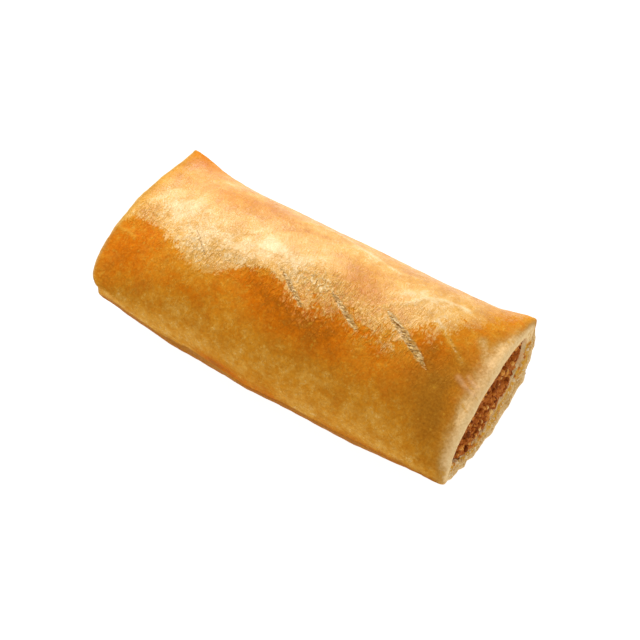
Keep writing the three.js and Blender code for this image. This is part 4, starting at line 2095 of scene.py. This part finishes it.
@dataclass
class MinceBits:
    """The grains of mince, onion and spice on the filling's two faces, and the few that were spilt."""

    mince: Mince
    seed: int = 23
    fineness: int = 2
    ragged: float = 0.5

    # The grains on the faces.
    each_end: int = 380
    farthest: float = 0.9
    largest: float = 1.2
    sizes: Range = (0.3, 1.0)
    widths: Range = (0.7, 1.0)
    heights: Range = (0.6, 0.9)
    dark_share: float = 0.82
    dark_tints: Range = (0.1, 0.65)
    pale_tints: Range = (0.65, 1.0)

    # The small grains on the torn lower lips.
    spilt_each_end: int = 36
    spilt_turns: Range = (1.1, 3.9)
    spilt_reach: float = 0.45
    spilt_gathered: float = 1.5
    spilt_sizes: Range = (0.25, 0.75)
    spilt_flatness: float = 0.7
    spilt_heights: Range = (0.5, 0.9)
    spilt_tints: Range = (0.6, 1.0)
    crumb_grain: float = 3.2
    crumb_depth: float = 0.8
    spilt_sunk: float = 0.1

    def spilt(self, draw: np.random.Generator) -> list[Chip]:
        """The small grains that stick to the torn lower lips beside the mouths.

        Args:
            draw: The source of chance.

        Returns:
            The grains of both ends.
        """
        form, count = self.mince.form, self.spilt_each_end
        chips = []
        for end in ENDS:
            turn = draw.uniform(*self.spilt_turns, count)
            across = 1.0 - self.spilt_reach * draw.uniform(0.0, 1.0, count) ** self.spilt_gathered
            places = form.place(np.full(count, end * form.half_length), turn, across)
            places[:, 0] += end * (self.crumb_depth * lumps(places, self.crumb_grain) - self.spilt_sunk)
            for place in form.settled(places):
                size = draw.uniform(*self.spilt_sizes)
                turned = tumbled(draw, "X")
                half = (size * self.spilt_flatness, size, size * draw.uniform(*self.spilt_heights))
                chips.append(Chip(Vector(place), turned, Vector(half) * MM, draw.uniform(*self.spilt_tints)))
        return chips

    def chips(self) -> list[Chip]:
        """Sets the grains on the two faces, and then the spilt ones.

        Returns:
            The grains of both ends.
        """
        draw = np.random.default_rng(self.seed)
        chips = []
        for end in ENDS:
            turn = mouth_turn(draw.uniform(0.0, 2.0, self.each_end))
            share = np.sqrt(draw.uniform(0.0, self.farthest, self.each_end))
            places = self.mince.face(end, turn, share)
            sizes = self.largest * draw.uniform(*self.sizes, self.each_end)
            kinds = draw.uniform(0.0, 1.0, self.each_end)
            for place, size, kind in zip(self.mince.form.settled(places), sizes, kinds):
                turned = tumbled(draw, "XZ")
                half = (size, size * draw.uniform(*self.widths), size * draw.uniform(*self.heights))
                tints = self.dark_tints if kind < self.dark_share else self.pale_tints
                chips.append(Chip(Vector(place), turned, Vector(half) * MM, draw.uniform(*tints)))
        return chips + self.spilt(draw)

    def build(self) -> bpy.types.Object:
        """Builds the grains' piece."""
        return scatter("mince_bits", self.chips(), self.fineness, self.ragged)

    def dress(self, piece: bpy.types.Object, material: bpy.types.Material) -> None:
        """Gives the grains their finish and their place in the frame.

        Args:
            piece: The grains' piece.
            material: Their finish.
        """
        piece.data.materials.append(material)
        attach(piece, "root")


# ---- The studio ----


@dataclass(frozen=True)
class Studio:
    """A pale lit table, a large soft light over the far left, and the camera."""

    aim: tuple[float, float, float] = (1.94, -1.35, 18.0)
    aim_right: float = 1.883
    aim_down: float = 1.364
    azimuth: float = 31.0
    elevation: float = 58.4
    distance: float = 466.0
    lens: float = 80.7
    sensor: float = 36.0
    table_size: float = 40.0
    table_drop: float = 0.0002
    table_glow: float = 0.94
    table_tone: float = 0.2
    ambient: float = 0.68
    key_direction: tuple[float, float, float] = (-0.45, 0.63, 0.63)
    key_distance: float = 0.6
    key_size: tuple[float, float] = (0.42, 0.36)
    key_power: float = 3.3
    key_colour: tuple[float, float, float] = (1.0, 0.985, 0.96)
    backdrop: float = 1.05
    nearest_seen: float = 0.01

    def camera(self) -> None:
        """Sets the camera at the photograph's angle."""
        turn, rise = math.radians(self.azimuth), math.radians(self.elevation)
        back = Vector((math.sin(turn) * math.cos(rise), -math.cos(turn) * math.cos(rise), math.sin(rise)))
        right = Vector((math.cos(turn), math.sin(turn), 0.0))
        up = back.cross(right)
        aim = Vector(self.aim) + right * self.aim_right - up * self.aim_down
        data = bpy.data.cameras.new("camera")
        data.lens = self.lens
        data.sensor_width = self.sensor
        data.clip_start = self.nearest_seen
        camera = linked("camera", data)
        camera.location = (aim + back * self.distance) * MM
        camera.rotation_euler = (-back).to_track_quat("-Z", "Y").to_euler()
        bpy.context.scene.camera = camera

    def table(self) -> None:
        """Lays the pale lit table under the roll."""
        shape = bmesh.new()
        bmesh.ops.create_grid(shape, x_segments=1, y_segments=1, size=self.table_size / 2)
        bmesh.ops.translate(shape, verts=shape.verts, vec=(0.0, 0.0, -self.table_drop))
        table = shown("table", shape)
        made, bench = started("lit_table")
        glow = bench.add("Emission", {"Color": rgb(1.0, 1.0, 1.0), "Strength": self.table_glow})
        matt = bench.add("BsdfDiffuse", {"Color": rgb(*3 * [self.table_tone])})
        both = bench.add("AddShader", {0: glow.outputs[0], 1: matt.outputs[0]})
        bench.add("OutputMaterial", {"Surface": both.outputs[0]})
        table.data.materials.append(made)

    def surroundings(self) -> None:
        """Fills the room with soft light and shows it white behind the table."""
        world = bpy.data.worlds.new("room")
        world.use_nodes = True
        bench = Bench(world.node_tree)
        seen = bench.add("LightPath").outputs["Is Camera Ray"]
        strength = bench.mix(seen, self.ambient, self.backdrop)
        light = bench.add("Background", {"Color": rgb(1.0, 1.0, 1.0), "Strength": strength})
        bench.add("OutputWorld", {"Surface": light.outputs[0]})
        bpy.context.scene.world = world

    def key(self) -> None:
        """Hangs the large soft light."""
        data = bpy.data.lights.new("key", "AREA")
        data.shape = "RECTANGLE"
        data.size, data.size_y = self.key_size
        data.energy = self.key_power
        data.color = self.key_colour
        key = linked("key", data)
        direction = Vector(self.key_direction).normalized()
        key.location = direction * self.key_distance
        key.rotation_euler = (-direction).to_track_quat("-Z", "Y").to_euler()

    def build(self) -> None:
        """Builds the studio round the roll."""
        self.camera()
        self.table()
        self.surroundings()
        self.key()
        bpy.context.scene.view_settings.view_transform = "Standard"


def main() -> None:
    """Builds the roll's pieces in order, dresses them and sets up the studio."""
    logging.basicConfig(level=logging.INFO, format="%(message)s")
    groups = {"mottle": Groups.mottle(), "grain": Groups.grain(), "strands": Groups.strands()}
    materials = {finish: finish.value.material(groups) for finish in Finish}
    form = RollForm()
    mince = Mince(form)
    makers = (
        (Casing(form), Finish.CRUST),
        (ScoreStrands(form), Finish.SCORE),
        (LipCrumbs(form), Finish.CRUMB),
        (mince, Finish.MINCE),
        (MinceBits(mince), Finish.MINCE),
    )
    for maker, finish in makers:
        piece = maker.build()
        maker.dress(piece, materials[finish])
        LOG.info("%s: %d faces", piece.name, len(piece.data.polygons))
    Studio().build()


if __name__ == "__main__":
    main()
